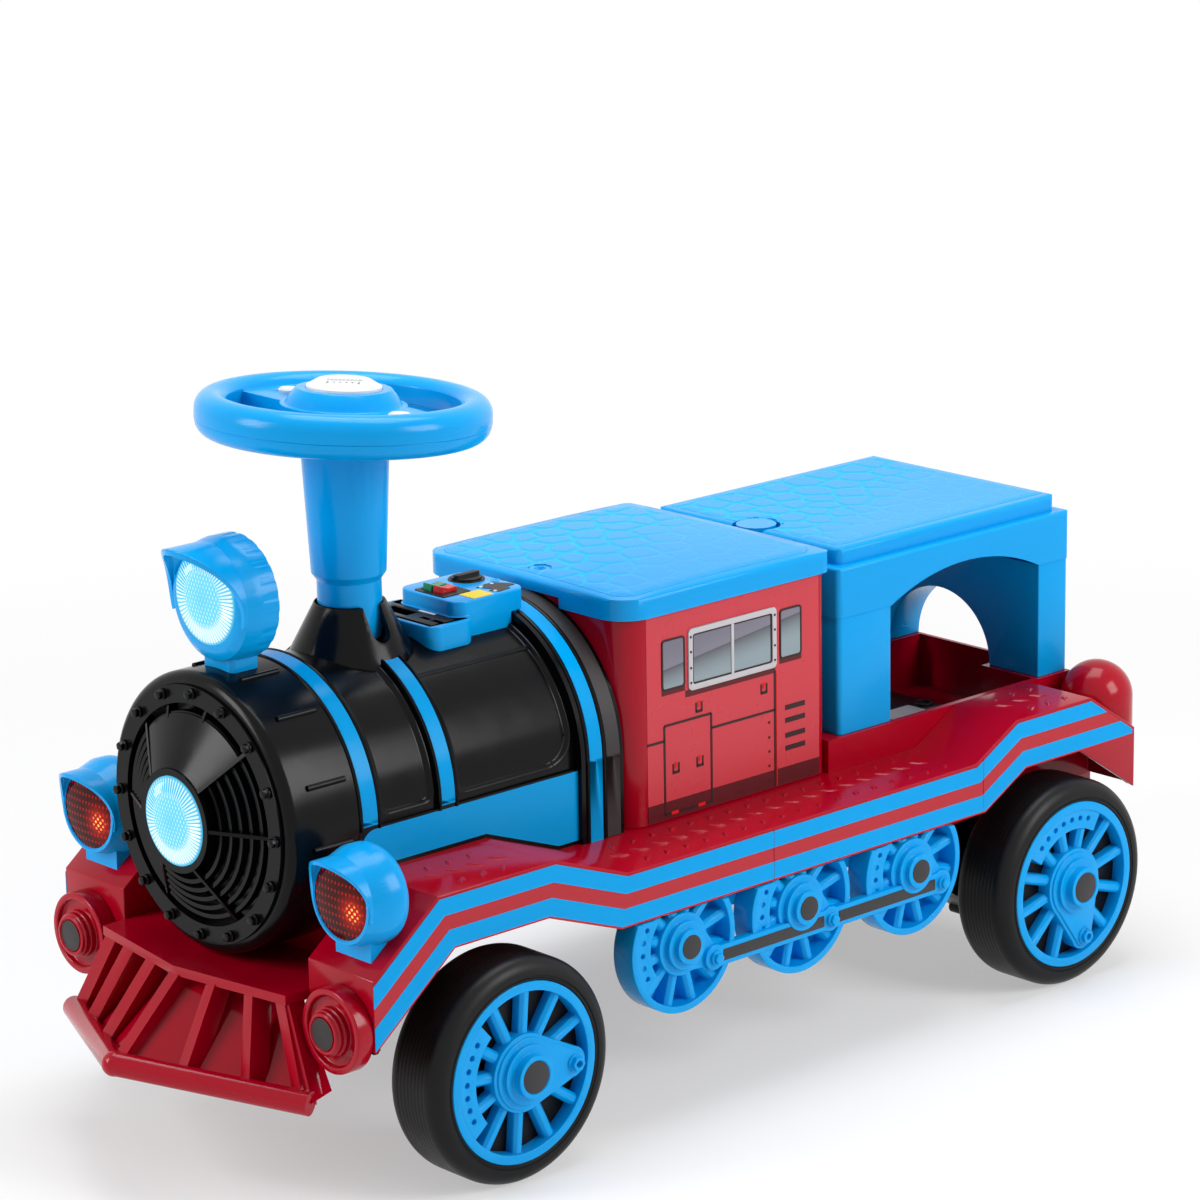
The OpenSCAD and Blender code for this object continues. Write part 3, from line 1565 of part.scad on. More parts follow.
running_board();
storage_tub();
battery_cover();
underframe();
battery();
rear_axle();
rear_axle_brackets();
rear_nuts();
drive_gearbox();
drive_motor();
front_axle_beam();
kingpins();
cowcatcher();
buffers();
boiler_shell();
smokebox_front();
smokebox_bolts();
boiler_lens();
headlamp_housing();
headlamp_lens();
left_lamp_housing();
right_lamp_housing();
left_lamp_lens();
right_lamp_lens();
chimney_cone();
console();
media_panel();
cab_shell();
cab_roof();
left_wheel_trim();
right_wheel_trim();
tail_domes();
steering_shaft();
steering_sleeve();
steering_wheel_bottom();
steering_wheel_top();
speaker_cap();
left_button();
right_button();
left_knuckle();
right_knuckle();
tie_rod();
front_left_tyre();
front_left_cover();
front_left_nut();
front_right_tyre();
front_right_cover();
front_right_nut();
rear_left_tyre();
rear_left_cover();
rear_right_tyre();
rear_right_cover();
key_knob();
green_rocker();
red_rocker();
foot_pedal();
bench_top();
bench_front_legs();
bench_rear_legs();
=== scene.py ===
"""Looks of a ride-on toy train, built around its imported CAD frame.

Sizes are in millimetres along the frame's axes: x forward, y to the rider's left, z up.
"""
import math
import random

import bmesh
import bpy
from mathutils import Matrix, Vector


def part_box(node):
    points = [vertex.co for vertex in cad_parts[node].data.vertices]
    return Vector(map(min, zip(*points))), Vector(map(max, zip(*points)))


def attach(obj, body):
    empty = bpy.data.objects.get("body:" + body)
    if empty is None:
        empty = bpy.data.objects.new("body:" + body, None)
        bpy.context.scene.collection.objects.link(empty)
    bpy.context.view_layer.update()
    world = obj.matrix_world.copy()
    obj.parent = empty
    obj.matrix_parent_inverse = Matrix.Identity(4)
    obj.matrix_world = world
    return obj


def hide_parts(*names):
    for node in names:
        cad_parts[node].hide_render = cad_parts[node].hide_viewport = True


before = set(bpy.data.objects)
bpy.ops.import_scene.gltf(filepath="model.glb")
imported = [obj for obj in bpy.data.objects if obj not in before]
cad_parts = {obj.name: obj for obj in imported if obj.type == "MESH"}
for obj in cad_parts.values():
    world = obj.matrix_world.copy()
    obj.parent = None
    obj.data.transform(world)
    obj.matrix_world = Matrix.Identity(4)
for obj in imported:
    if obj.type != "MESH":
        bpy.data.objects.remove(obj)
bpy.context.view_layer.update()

MM = 0.001
SIDES = {"left": 1, "right": -1}

# Running board
DECK_Z = 225
ARCH_Z = 254
SKIRT_Y = 202
BAND_H = 47
TOP_LINE = [
    (407, 200), (339, ARCH_Z), (214, ARCH_Z), (135, DECK_Z),
    (-283, DECK_Z), (-336, ARCH_Z), (-435, ARCH_Z), (-495, 214),
]
# Wheels
AXLE_X = {"front": 273, "rear": -387}
TYRE_R = 95
TYRE_W = 61
WHEEL_IN_Y = 165
# Boiler
BOILER_Z = 294.4
HOOP_R = 117
PANEL_R = 110
FLANGE_R = 122
# Cab and bench
CAB_Y = 125


# Materials


class Paint:
    """A principled material and the nodes that feed it."""

    def __init__(self, name, **sockets):
        self.material = bpy.data.materials.new(name)
        self.material.use_nodes = True
        self.tree = self.material.node_tree
        self.bsdf = self.tree.nodes["Principled BSDF"]
        for socket, value in sockets.items():
            self.bsdf.inputs[socket.replace("_", " ")].default_value = value

    def add(self, kind, **settings):
        node = self.tree.nodes.new(kind)
        for key, value in settings.items():
            setattr(node, key, value)
        return node

    def put(self, socket, value):
        """Links an output to a socket, or sets the socket's own value."""
        if isinstance(value, bpy.types.NodeSocket):
            self.tree.links.new(value, socket)
        else:
            socket.default_value = value

    def feed(self, name, value):
        self.put(self.bsdf.inputs[name], value)

    def place(self):
        return self.add("ShaderNodeTexCoord").outputs["Object"]

    def noise(self, vector, scale, detail=2.0):
        node = self.add("ShaderNodeTexNoise")
        self.put(node.inputs["Vector"], vector)
        node.inputs["Scale"].default_value = scale
        node.inputs["Detail"].default_value = detail
        return node.outputs[0]

    def math(self, operation, a, b=0.0):
        node = self.add("ShaderNodeMath", operation=operation)
        self.put(node.inputs[0], a)
        self.put(node.inputs[1], b)
        return node.outputs[0]

    def between(self, value, low, high, to_low=0.0, to_high=1.0):
        node = self.add("ShaderNodeMapRange", interpolation_type="SMOOTHSTEP")
        for socket, v in zip(node.inputs, (value, low, high, to_low, to_high)):
            self.put(socket, v)
        return node.outputs[0]

    def mix(self, factor, a, b):
        node = self.add("ShaderNodeMix", data_type="RGBA")
        for socket, v in ((node.inputs[0], factor), (node.inputs[6], a), (node.inputs[7], b)):
            self.put(socket, v)
        return node.outputs[2]

    def bump(self, height, distance, strength=1.0, normal=None):
        node = self.add("ShaderNodeBump")
        node.inputs["Strength"].default_value = strength
        node.inputs["Distance"].default_value = distance
        self.put(node.inputs["Height"], height)
        if normal is not None:
            self.put(node.inputs["Normal"], normal)
        return node.outputs[0]


def shade(colour, factor):
    return tuple(min(1.0, c * factor) for c in colour) + (1.0,)


def plastic(name, colour, roughness, mottle=0.05, grain=0.0, shine=0.2):
    """Moulded plastic: faint cloudy colour, uneven gloss, slow ripples and fine grain."""
    paint = Paint(name, Specular_IOR_Level=shine)
    place = paint.place()
    cloud = paint.noise(place, 9.0, 3.0)
    paint.feed("Base Color", paint.mix(cloud, shade(colour, 1 - mottle), shade(colour, 1 + mottle)))
    smear = paint.noise(place, 38.0, 4.0)
    paint.feed("Roughness", paint.between(smear, 0.25, 0.75, roughness * 0.85, roughness * 1.15))
    ripple = paint.bump(paint.noise(place, 60.0, 1.0), 0.02 * MM, 0.5)
    paint.feed("Normal", paint.bump(paint.noise(place, 2200.0), grain * MM, 1.0, ripple) if grain else ripple)
    return paint.material


RED = (0.36, 0.0, 0.012)
BLUE = (0.0, 0.325, 0.75)
red_plastic = plastic("red_plastic", RED, 0.16, 0.06, shine=0.24)
blue_plastic = plastic("blue_plastic", BLUE, 0.20, 0.04, grain=0.02, shine=0.18)
black_gloss = plastic("black_gloss", (0.002, 0.002, 0.0025), 0.20, 0.2, grain=0.015, shine=0.14)
black_satin = plastic("black_satin", (0.004, 0.004, 0.005), 0.36, 0.15, grain=0.06, shine=0.16)
tyre_black = plastic("tyre_black", (0.0045, 0.0045, 0.005), 0.38, 0.2, grain=0.08, shine=0.18)
frame_grey = plastic("frame_grey", (0.03, 0.03, 0.033), 0.5, 0.12, grain=0.08)
pale_plastic = plastic("pale_plastic", (0.66, 0.68, 0.70), 0.35, 0.03, grain=0.02)
label_pale = plastic("label_pale", (0.55, 0.52, 0.50), 0.45, 0.05)
stripe_blue = plastic("stripe_blue", (0.0, 0.32, 0.72), 0.2, 0.03, shine=0.10)
stripe_red = plastic("stripe_red", (0.43, 0.022, 0.032), 0.22, 0.04)
line_red = plastic("line_red", (0.50, 0.008, 0.015), 0.25, 0.04)
print_red = plastic("print_red", (0.55, 0.050, 0.066), 0.3, 0.04)
print_shade = plastic("print_shade", (0.10, 0.012, 0.016), 0.3, 0.12)
print_dark = plastic("print_dark", (0.035, 0.015, 0.017), 0.35, 0.1)
print_bright = plastic("print_bright", (0.74, 0.012, 0.012), 0.35, 0.06)
frame_silver = plastic("frame_silver", (0.50, 0.50, 0.52), 0.3, 0.05)
disc_grey = plastic("disc_grey", (0.040, 0.037, 0.038), 0.4, 0.12, grain=0.05)
yellow_print = plastic("yellow_print", (0.82, 0.62, 0.03), 0.4, 0.05)
green_plastic = plastic("green_plastic", (0.004, 0.20, 0.085), 0.2, 0.08)
rocker_red = plastic("rocker_red", (0.55, 0.012, 0.014), 0.2, 0.08)
battery_case = plastic("battery_case", (0.03, 0.035, 0.045), 0.45, 0.15, grain=0.05)


def brushed_steel():
    paint = Paint("steel", Metallic=1.0)
    place = paint.place()
    streak = paint.noise(place, 420.0, 5.0)
    paint.feed("Base Color", paint.mix(streak, (0.42, 0.42, 0.43, 1), (0.66, 0.66, 0.67, 1)))
    paint.feed("Roughness", paint.between(streak, 0.2, 0.8, 0.24, 0.42))
    paint.feed("Normal", paint.bump(streak, 0.03 * MM, 0.6))
    return paint.material


def cobbled_blue():
    """Blue plastic whose stones are glossy and whose joints are pale and matt."""
    paint = Paint("cobbled_blue", Specular_IOR_Level=0.12)
    place = paint.place()
    stone = paint.add("ShaderNodeAttribute", attribute_name="stone").outputs["Fac"]
    cloud = paint.noise(place, 9.0, 3.0)
    face = paint.mix(cloud, shade(BLUE, 0.97), shade(BLUE, 1.03))
    paint.feed("Base Color", paint.mix(stone, (0.030, 0.43, 0.87, 1), face))
    paint.feed("Roughness", paint.between(stone, 0.0, 1.0, 0.55, 0.27))
    paint.feed("Normal", paint.bump(paint.noise(place, 900.0), 0.05 * MM, 0.4))
    return paint.material


def window_glass():
    """Printed window pane: grey sky over a dark rail and a paler foot."""
    paint = Paint("window_glass", Roughness=0.22)
    place = paint.add("ShaderNodeSeparateXYZ")
    paint.put(place.inputs[0], paint.place())
    lean = paint.math("MULTIPLY", place.outputs["X"], 0.12)
    height = paint.math("ADD", place.outputs["Z"], lean)
    ramp = paint.add("ShaderNodeValToRGB")
    stops = [
        (0.0, (0.24, 0.31, 0.34, 1)), (0.42, (0.10, 0.11, 0.13, 1)),
        (0.46, (0.075, 0.075, 0.085, 1)), (0.5, (0.19, 0.18, 0.23, 1)), (1.0, (0.15, 0.145, 0.19, 1)),
    ]
    for _ in stops[2:]:
        ramp.color_ramp.elements.new(0.5)
    for element, (at, colour) in zip(ramp.color_ramp.elements, stops):
        element.position = at
        element.color = colour
    paint.put(ramp.inputs[0], paint.between(height, 0.337, 0.385))
    paint.feed("Base Color", ramp.outputs[0])
    paint.feed("Normal", paint.bump(paint.noise(paint.place(), 300.0), 0.02 * MM, 0.5))
    return paint.material


def hypot(paint, u, v):
    squares = paint.math("ADD", paint.math("MULTIPLY", u, u), paint.math("MULTIPLY", v, v))
    return paint.math("SQRT", squares)


def polar(paint):
    """Radius and angle of the lens coordinates, which run from -1 to 1 across the lens."""
    flat = paint.add("ShaderNodeSeparateXYZ")
    paint.put(flat.inputs[0], paint.add("ShaderNodeUVMap", uv_map="lens").outputs[0])
    u = paint.math("SUBTRACT", paint.math("MULTIPLY", flat.outputs[0], 2.0), 1.0)
    v = paint.math("SUBTRACT", paint.math("MULTIPLY", flat.outputs[1], 2.0), 1.0)
    return u, v, hypot(paint, u, v), paint.math("ARCTAN2", v, u)


def wave(paint, value, rate):
    """A wave from 0 to 1 with that many radians per unit."""
    swing = paint.math("SINE", paint.math("MULTIPLY", value, rate))
    return paint.math("ADD", paint.math("MULTIPLY", swing, 0.5), 0.5)


def lit_lens():
    """Clear lens lit from behind: white flutes round a pale blue cross-hatched middle."""
    paint = Paint("lit_lens", Roughness=0.12)
    u, v, radius, angle = polar(paint)
    flute = wave(paint, angle, 64.0)
    cross = paint.math(
        "MULTIPLY",
        wave(paint, paint.math("ADD", u, paint.math("MULTIPLY", v, 0.55)), 62.0),
        wave(paint, paint.math("SUBTRACT", u, paint.math("MULTIPLY", v, 0.55)), 62.0),
    )
    middle = paint.mix(cross, (0.06, 0.60, 0.95, 1), (0.62, 0.93, 1.0, 1))
    core = paint.between(radius, 0.0, 0.45, 0.5, 0.0)
    middle = paint.mix(core, middle, (0.06, 0.55, 0.95, 1))
    ring = paint.mix(paint.between(flute, 0.2, 0.7), (0.02, 0.50, 0.85, 1), (0.88, 1.0, 1.0, 1))
    face = paint.mix(paint.between(radius, 0.50, 0.70), middle, ring)
    face = paint.mix(paint.between(radius, 0.92, 0.985), face, (0.01, 0.40, 0.68, 1))
    paint.feed("Base Color", (0.05, 0.16, 0.20, 1))
    paint.feed("Emission Color", face)
    paint.feed("Emission Strength", 0.85)
    return paint.material


def ruby_lens():
    """Dark red lens with a grid of prisms and the glow of a lamp low at one side."""
    paint = Paint("ruby_lens", Roughness=0.1, Specular_IOR_Level=0.1)
    u, v, _, _ = polar(paint)
    dash = paint.math("MULTIPLY", wave(paint, u, 46.0), wave(paint, v, 30.0))
    dash = paint.between(dash, 0.45, 0.85)
    facet = paint.math(
        "MULTIPLY",
        wave(paint, paint.math("ADD", u, v), 34.0),
        wave(paint, paint.math("SUBTRACT", u, v), 34.0),
    )
    away = hypot(paint, paint.math("SUBTRACT", u, 0.52), paint.math("ADD", v, 0.20))
    glow = paint.between(away, 0.0, 0.75, 1.0, 0.0)
    spark = paint.math("MULTIPLY", paint.between(away, 0.10, 0.34, 1.0, 0.0), paint.between(facet, 0.25, 0.6))
    paint.feed("Base Color", paint.mix(dash, (0.020, 0.002, 0.002, 1), (0.14, 0.003, 0.003, 1)))
    light = paint.mix(dash, (0.08, 0.003, 0.003, 1), (0.75, 0.010, 0.004, 1))
    light = paint.mix(paint.math("MULTIPLY", glow, 0.7), light, (0.80, 0.020, 0.005, 1))
    paint.feed("Emission Color", paint.mix(spark, light, (1.0, 0.40, 0.10, 1)))
    strength = paint.math("ADD", paint.math("MULTIPLY", glow, 0.6), 0.30)
    paint.feed("Emission Strength", paint.math("ADD", strength, spark))
    return paint.material


steel = brushed_steel()
cobbled = cobbled_blue()
glass = window_glass()
lens_lit = lit_lens()
lens_ruby = ruby_lens()


# Mesh building


class Build:
    """Closed shapes in millimetres that are gathered into one piece."""

    def __init__(self):
        self.verts = []
        self.faces = []

    def add(self, verts, faces):
        first = len(self.verts)
        self.verts += verts
        self.faces += [[first + i for i in face] for face in faces]

    def prism(self, outline, low, high, place):
        """The outline, swept from low to high across its plane."""
        n = len(outline)
        verts = [place(u, v, w) for w in (low, high) for u, v in outline]
        walls = [[i, (i + 1) % n, n + (i + 1) % n, n + i] for i in range(n)]
        self.add(verts, [list(range(n)), list(range(n, 2 * n))] + walls)

    def border(self, outer, inner, low, high, place):
        """A frame between two outlines with the same number of points."""
        n = len(outer)
        verts = [place(u, v, w) for w in (low, high) for line in (outer, inner) for u, v in line]
        faces = []
        for i in range(n):
            j = (i + 1) % n
            for a, b in ((0, n), (2 * n, 3 * n), (0, 2 * n), (n, 3 * n)):
                faces.append([a + i, a + j, b + j, b + i])
        self.add(verts, faces)

    def spin(self, profile, place, steps=96, start=0.0, sweep=360.0):
        """A closed profile of (radius, height) points turned about an axis."""
        whole = sweep >= 360.0
        n = len(profile)
        turns = steps if whole else steps + 1
        verts = []
        for k in range(turns):
            a = math.radians(start + sweep * k / steps)
            verts += [place(r * math.cos(a), r * math.sin(a), h) for r, h in profile]
        faces = []
        for k in range(steps):
            a, b = k * n, (k + 1) % turns * n
            faces += [[a + i, a + (i + 1) % n, b + (i + 1) % n, b + i] for i in range(n)]
        if not whole:
            faces += [list(range(n)), [steps * n + i for i in range(n)]]
        self.add(verts, faces)

    def piece(self, name, material, slot, body="chassis", bevel=0.0):
        mesh = bpy.data.meshes.new(name)
        shape = bmesh.new()
        verts = [shape.verts.new(Vector(v) * MM) for v in self.verts]
        for face in self.faces:
            shape.faces.new([verts[i] for i in face])
        bmesh.ops.remove_doubles(shape, verts=shape.verts, dist=1e-6)
        bmesh.ops.recalc_face_normals(shape, faces=shape.faces)
        shape.to_mesh(mesh)
        shape.free()
        return settle(name, mesh, material, slot, body, bevel)


def settle(name, mesh, material, slot, body="chassis", bevel=0.0):
    obj = bpy.data.objects.new(name, mesh)
    bpy.context.scene.collection.objects.link(obj)
    mesh.materials.append(material)
    if bevel:
        add_bevel(obj, bevel)
    add_nodes(obj, soft_shading)
    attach(obj, body)
    return obj


def add_bevel(obj, width, segments=3, angle=32.0):
    bevel = obj.modifiers.new("bevel", "BEVEL")
    bevel.width = width * MM
    bevel.segments = segments
    bevel.limit_method = "ANGLE"
    bevel.angle_limit = math.radians(angle)
    bevel.use_clamp_overlap = True
    return bevel


def add_nodes(obj, group):
    obj.modifiers.new(group.name, "NODES").node_group = group


def node_group(name):
    group = bpy.data.node_groups.new(name, "GeometryNodeTree")
    for way in ("INPUT", "OUTPUT"):
        group.interface.new_socket("Geometry", in_out=way, socket_type="NodeSocketGeometry")
    return group, group.nodes.new("NodeGroupInput"), group.nodes.new("NodeGroupOutput")


def make_weld():
    """Joins the split corners of a CAD mesh and drops its stored normals."""
    group, start, end = node_group("weld")
    forget = group.nodes.new("GeometryNodeRemoveAttribute")
    forget.inputs["Name"].default_value = "custom_normal"
    merge = group.nodes.new("GeometryNodeMergeByDistance")
    merge.inputs["Distance"].default_value = 0.002 * MM
    group.links.new(start.outputs[0], forget.inputs[0])
    group.links.new(forget.outputs[0], merge.inputs["Geometry"])
    group.links.new(merge.outputs[0], end.inputs[0])
    return group


def make_soft_shading(angle=38.0):
    """Smooth shading, with edges sharper than the angle kept sharp."""
    group, start, end = node_group("soft_shading")
    faces = group.nodes.new("GeometryNodeSetShadeSmooth")
    faces.domain = "FACE"
    edges = group.nodes.new("GeometryNodeSetShadeSmooth")
    edges.domain = "EDGE"
    bend = group.nodes.new("GeometryNodeInputMeshEdgeAngle")
    gentle = group.nodes.new("FunctionNodeCompare")
    gentle.data_type = "FLOAT"
    gentle.operation = "LESS_THAN"
    gentle.inputs[1].default_value = math.radians(angle)
    group.links.new(bend.outputs[0], gentle.inputs[0])
    group.links.new(start.outputs[0], faces.inputs["Geometry"])
    group.links.new(faces.outputs[0], edges.inputs["Geometry"])
    group.links.new(gentle.outputs[0], edges.inputs["Shade Smooth"])
    group.links.new(edges.outputs[0], end.inputs[0])
    return group


weld = make_weld()
soft_shading = make_soft_shading()


def on_side(side):
    """Places (x, z, distance from the middle plane) on one side of the train."""
    return lambda u, v, w: (u, side * w, v)


def flat_at(x, y, z):
    """Places a flat shape on a level face."""
    return lambda u, v, w: (x + u, y + v, z + w)


def facing_front(y, z):
    """Places (across, up, forward) round a lamp's axis."""
    return lambda u, v, w: (w, y + u, z + v)


def box_outline(u0, u1, v0, v1):
    return [(u0, v0), (u1, v0), (u1, v1), (u0, v1)]


def rounded_outline(u0, u1, v0, v1, radius, steps=6):
    points = []
    corners = ((u1 - radius, v1 - radius), (u0 + radius, v1 - radius),
               (u0 + radius, v0 + radius), (u1 - radius, v0 + radius))
    for k, (cu, cv) in enumerate(corners):
        for i in range(steps + 1):
            a = math.radians(90 * (k + i / steps))
            points.append((cu + radius * math.cos(a), cv + radius * math.sin(a)))
    return points


def disc_outline(radius, u=0.0, v=0.0, steps=32):
    turn = 2 * math.pi / steps
    return [(u + radius * math.cos(turn * i), v + radius * math.sin(turn * i)) for i in range(steps)]


def smooth_step(low, high, value):
    t = min(1.0, max(0.0, (value - low) / (high - low)))
    return t * t * (3 - 2 * t)


def sheet(name, columns, rows, point, material, slot, keep=None, mark=None, thick=0.6):
    """A thin skin from a grid of points; keep leaves cells out, mark gives each point a 0 to 1 value."""
    verts = [point(i / columns, j / rows) for i in range(columns + 1) for j in range(rows + 1)]
    faces = []
    for i in range(columns):
        for j in range(rows):
            a = i * (rows + 1) + j
            face = [a, a + rows + 1, a + rows + 2, a + 1]
            if keep is None or all(keep(*verts[k]) for k in face):
                faces.append(face)
    used = sorted({k for face in faces for k in face})
    index = {k: n for n, k in enumerate(used)}
    mesh = bpy.data.meshes.new(name)
    mesh.from_pydata([Vector(verts[k]) * MM for k in used], [], [[index[k] for k in f] for f in faces])
    if mark:
        values = mesh.attributes.new("stone", "FLOAT", "POINT")
        values.data.foreach_set("value", [mark(*verts[k]) for k in used])
    obj = settle(name, mesh, material, slot)
    solid = obj.modifiers.new("solid", "SOLIDIFY")
    solid.thickness = thick * MM
    solid.offset = -1.0
    obj.modifiers.move(len(obj.modifiers) - 1, 0)
    return obj


# CAD nodes


def dress(nodes, material, bevel=0.0, segments=3):
    """Gives CAD nodes their material, welded smooth faces and rounded edges."""
    for name in nodes.split():
        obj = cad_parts[name]
        for place in obj.material_slots:
            place.link = "OBJECT"
            place.material = material
        add_nodes(obj, weld)
        flat = obj.modifiers.new("flat", "DECIMATE")
        flat.decimate_type = "DISSOLVE"
        flat.angle_limit = math.radians(0.4)
        if bevel:
            add_bevel(obj, bevel, segments).use_clamp_overlap = False
        add_nodes(obj, soft_shading)


dress("running_board", red_plastic, 1.0)
dress("storage_tub cowcatcher", red_plastic)
dress("cab_shell", red_plastic, 1.2)
dress("buffers tail_domes", red_plastic, 1.5)
dress("front_left_cover front_right_cover rear_left_cover rear_right_cover", blue_plastic, 0.7)
dress("left_wheel_trim right_wheel_trim", blue_plastic, 0.7)
dress("cab_roof bench_top headlamp_housing left_lamp_housing right_lamp_housing", blue_plastic)
dress("console", blue_plastic, 1.5)
dress("steering_sleeve steering_wheel_bottom steering_wheel_top", blue_plastic, 0.6)
dress("bench_front_legs bench_rear_legs", blue_plastic, 1.0)
dress("boiler_shell smokebox_front", black_gloss)
dress("smokebox_bolts chimney_cone", black_gloss, 0.5)
dress("media_panel key_knob battery_cover drive_gearbox foot_pedal", black_satin, 0.5)
dress("underframe rear_axle_brackets", frame_grey)
dress("rear_axle rear_nuts front_axle_beam kingpins left_knuckle right_knuckle tie_rod", steel)
dress("steering_shaft drive_motor front_left_nut front_right_nut", steel)
dress("battery", battery_case)
dress("speaker_cap left_button right_button", pale_plastic, 0.3)
dress("green_rocker", green_plastic, 0.6)
dress("red_rocker", rocker_red, 0.6)


# Skirt stripes


def heading(a, b):
    length = math.dist(a, b)
    return (b[0] - a[0]) / length, (b[1] - a[1]) / length


def lowered(line, drop):
    """The line moved square to itself, with mitred corners and upright ends."""
    moved = []
    for i, (x, z) in enumerate(line):
        legs = [heading(*line[k:k + 2]) for k in (i - 1, i) if 0 <= k < len(line) - 1]
        if len(legs) == 1:
            moved.append((x, z - drop / abs(legs[0][0])))
            continue
        (ax, az), (bx, bz) = [(-dz, dx) for dx, dz in legs]
        share = drop / (1 + ax * bx + az * bz)
        moved.append((x + share * (ax + bx), z + share * (az + bz)))
    return moved


def tail_end(high, low):
    """Where a level stripe is cut by the falling tail edge and the tail wall."""
    margin = 5.0
    (x0, z0), (x1, z1) = TOP_LINE[-2:]
    slope = (x1 - x0) / (z1 - z0)
    wall = x1 + 4.0

    def cut(z):
        return x0 + margin + (z - z0) * slope

    if cut(low) >= wall:
        return [(cut(high), high), (cut(low), low)]
    if cut(high) <= wall:
        return [(wall, high), (wall, low)]
    return [(cut(high), high), (wall, z0 + (wall - x0 - margin) / slope), (wall, low)]


STRIPES = [
    ("upper_stripe", 3.0, 17.5, 0.5, stripe_blue, "blue_plastic"),
    ("middle_stripe", 17.5, 30.0, 0.3, stripe_red, "red_plastic"),
    ("lower_stripe", 30.0, 45.0, 0.5, stripe_blue, "blue_plastic"),
    ("edge_line", 45.0, 46.6, 0.3, line_red, "red_plastic"),
]
for side, sign in SIDES.items():
    for name, top, low, proud, paint, slot in STRIPES:
        build = Build()
        upper, under = lowered(TOP_LINE, top)[:-2], lowered(TOP_LINE, low)[:-2]
        ends = tail_end(ARCH_Z - top, ARCH_Z - low)
        build.prism(upper + ends + under[::-1], SKIRT_Y - 0.2, SKIRT_Y + proud, on_side(sign))
        build.piece(f"{side}_{name}", paint, slot)


# Diamond tread

STUD = (10.0, 3.6, 1.1)
TREAD_PITCH = 22.4
TREAD_ROWS = (142.5, 163.0, 184.5)


def stud(build, x, y, turn, side, surface):
    """A flat-topped diamond on the deck; surface gives the deck's height along x."""
    half, wide, high = STUD
    top = 0.55
    plan = [(half, 0), (0, wide), (-half, 0), (0, -wide)]
    c, s = math.cos(turn), math.sin(turn)
    verts = []
    for scale, lift in ((1.0, -0.3), (top, high)):
        for u, v in plan:
            px, py = x + scale * (u * c - v * s), y + scale * (u * s + v * c)
            verts.append((px, side * py, surface(px) + lift))
    walls = [[i, (i + 1) % 4, 4 + (i + 1) % 4, 4 + i] for i in range(4)]
    build.add(verts, [[0, 1, 2, 3], [4, 5, 6, 7]] + walls)


def deck_height(x):
    for (x0, z0), (x1, z1) in zip(TOP_LINE, TOP_LINE[1:]):
        if x1 <= x <= x0:
            return z0 + (z1 - z0) * (x - x0) / (x1 - x0)
    return ARCH_Z


TREAD_RUNS = [(322, 222), (126, -276), (-344, -432)]
for side, sign in SIDES.items():
    build = Build()
    for row, y in enumerate(TREAD_ROWS):
        shift = TREAD_PITCH / 2 if row == 1 else 0.0
        turn = math.radians(-45 if row == 1 else 45)
        for k in range(-20, 20):
            x = 7.5 + shift + k * TREAD_PITCH
            if any(low + STUD[0] < x < high - STUD[0] for high, low in TREAD_RUNS):
                stud(build, x, y, turn, sign, deck_height)
    build.piece(f"{side}_tread", red_plastic, "red_plastic")


# Boiler dress

BANDS = {
    "front_band": (328, 343, HOOP_R),
    "middle_band": (246.5, 260.5, HOOP_R),
    "rear_band": (89, 103, FLANGE_R),
}
HOOP_RIMS = (
    (326, HOOP_R), (345, HOOP_R), (244.6, HOOP_R), (262.4, HOOP_R), (87, FLANGE_R), (105.5, FLANGE_R),
)
STRIP_X = (69, 84)
BAND_FOOT_Z = 292


def along_boiler(u, v, w):
    return (w, u, BOILER_Z + v)


def arch(build, x0, x1, low_r, high_r, foot=0.0):
    """A strip over the top half of the boiler, down to foot below the axis on each side."""
    profile = [(low_r, x0), (high_r, x0), (high_r, x1), (low_r, x1)]
    build.spin(profile, along_boiler, 120, 0.0, 180.0)
    if foot:
        for sign in (1, -1):
            build.prism(box_outline(x0, x1, BOILER_Z - foot, BOILER_Z), low_r, high_r, on_side(sign))


for name, (x0, x1, r) in BANDS.items():
    build = Build()
    arch(build, x0, x1, r - 0.2, r + 0.5, BOILER_Z - DECK_Z if r == FLANGE_R else BOILER_Z - BAND_FOOT_Z)
    build.piece(name, stripe_blue, "blue_plastic")

build = Build()
for x, r in HOOP_RIMS:
    foot = BOILER_Z - DECK_Z - 0.2 if r == FLANGE_R else 6.0
    lip = [(r - 0.4, x - 1.6), (r + 0.9, x - 1.2), (r + 1.5, x), (r + 0.9, x + 1.2), (r - 0.4, x + 1.6)]
    build.spin(lip, along_boiler, 120, 0.0, 180.0)
    for sign in (1, -1):
        build.prism([(h, w) for w, h in lip], BOILER_Z - foot, BOILER_Z, lambda u, v, w: (u, sign * v, w))
build.piece("hoop_rims", black_gloss, "black_plastic")

build = Build()
arch(build, *STRIP_X, FLANGE_R - 0.2, FLANGE_R + 0.4, BOILER_Z - DECK_Z - 0.5)
build.piece("flange_strip", disc_grey, "black_plastic")


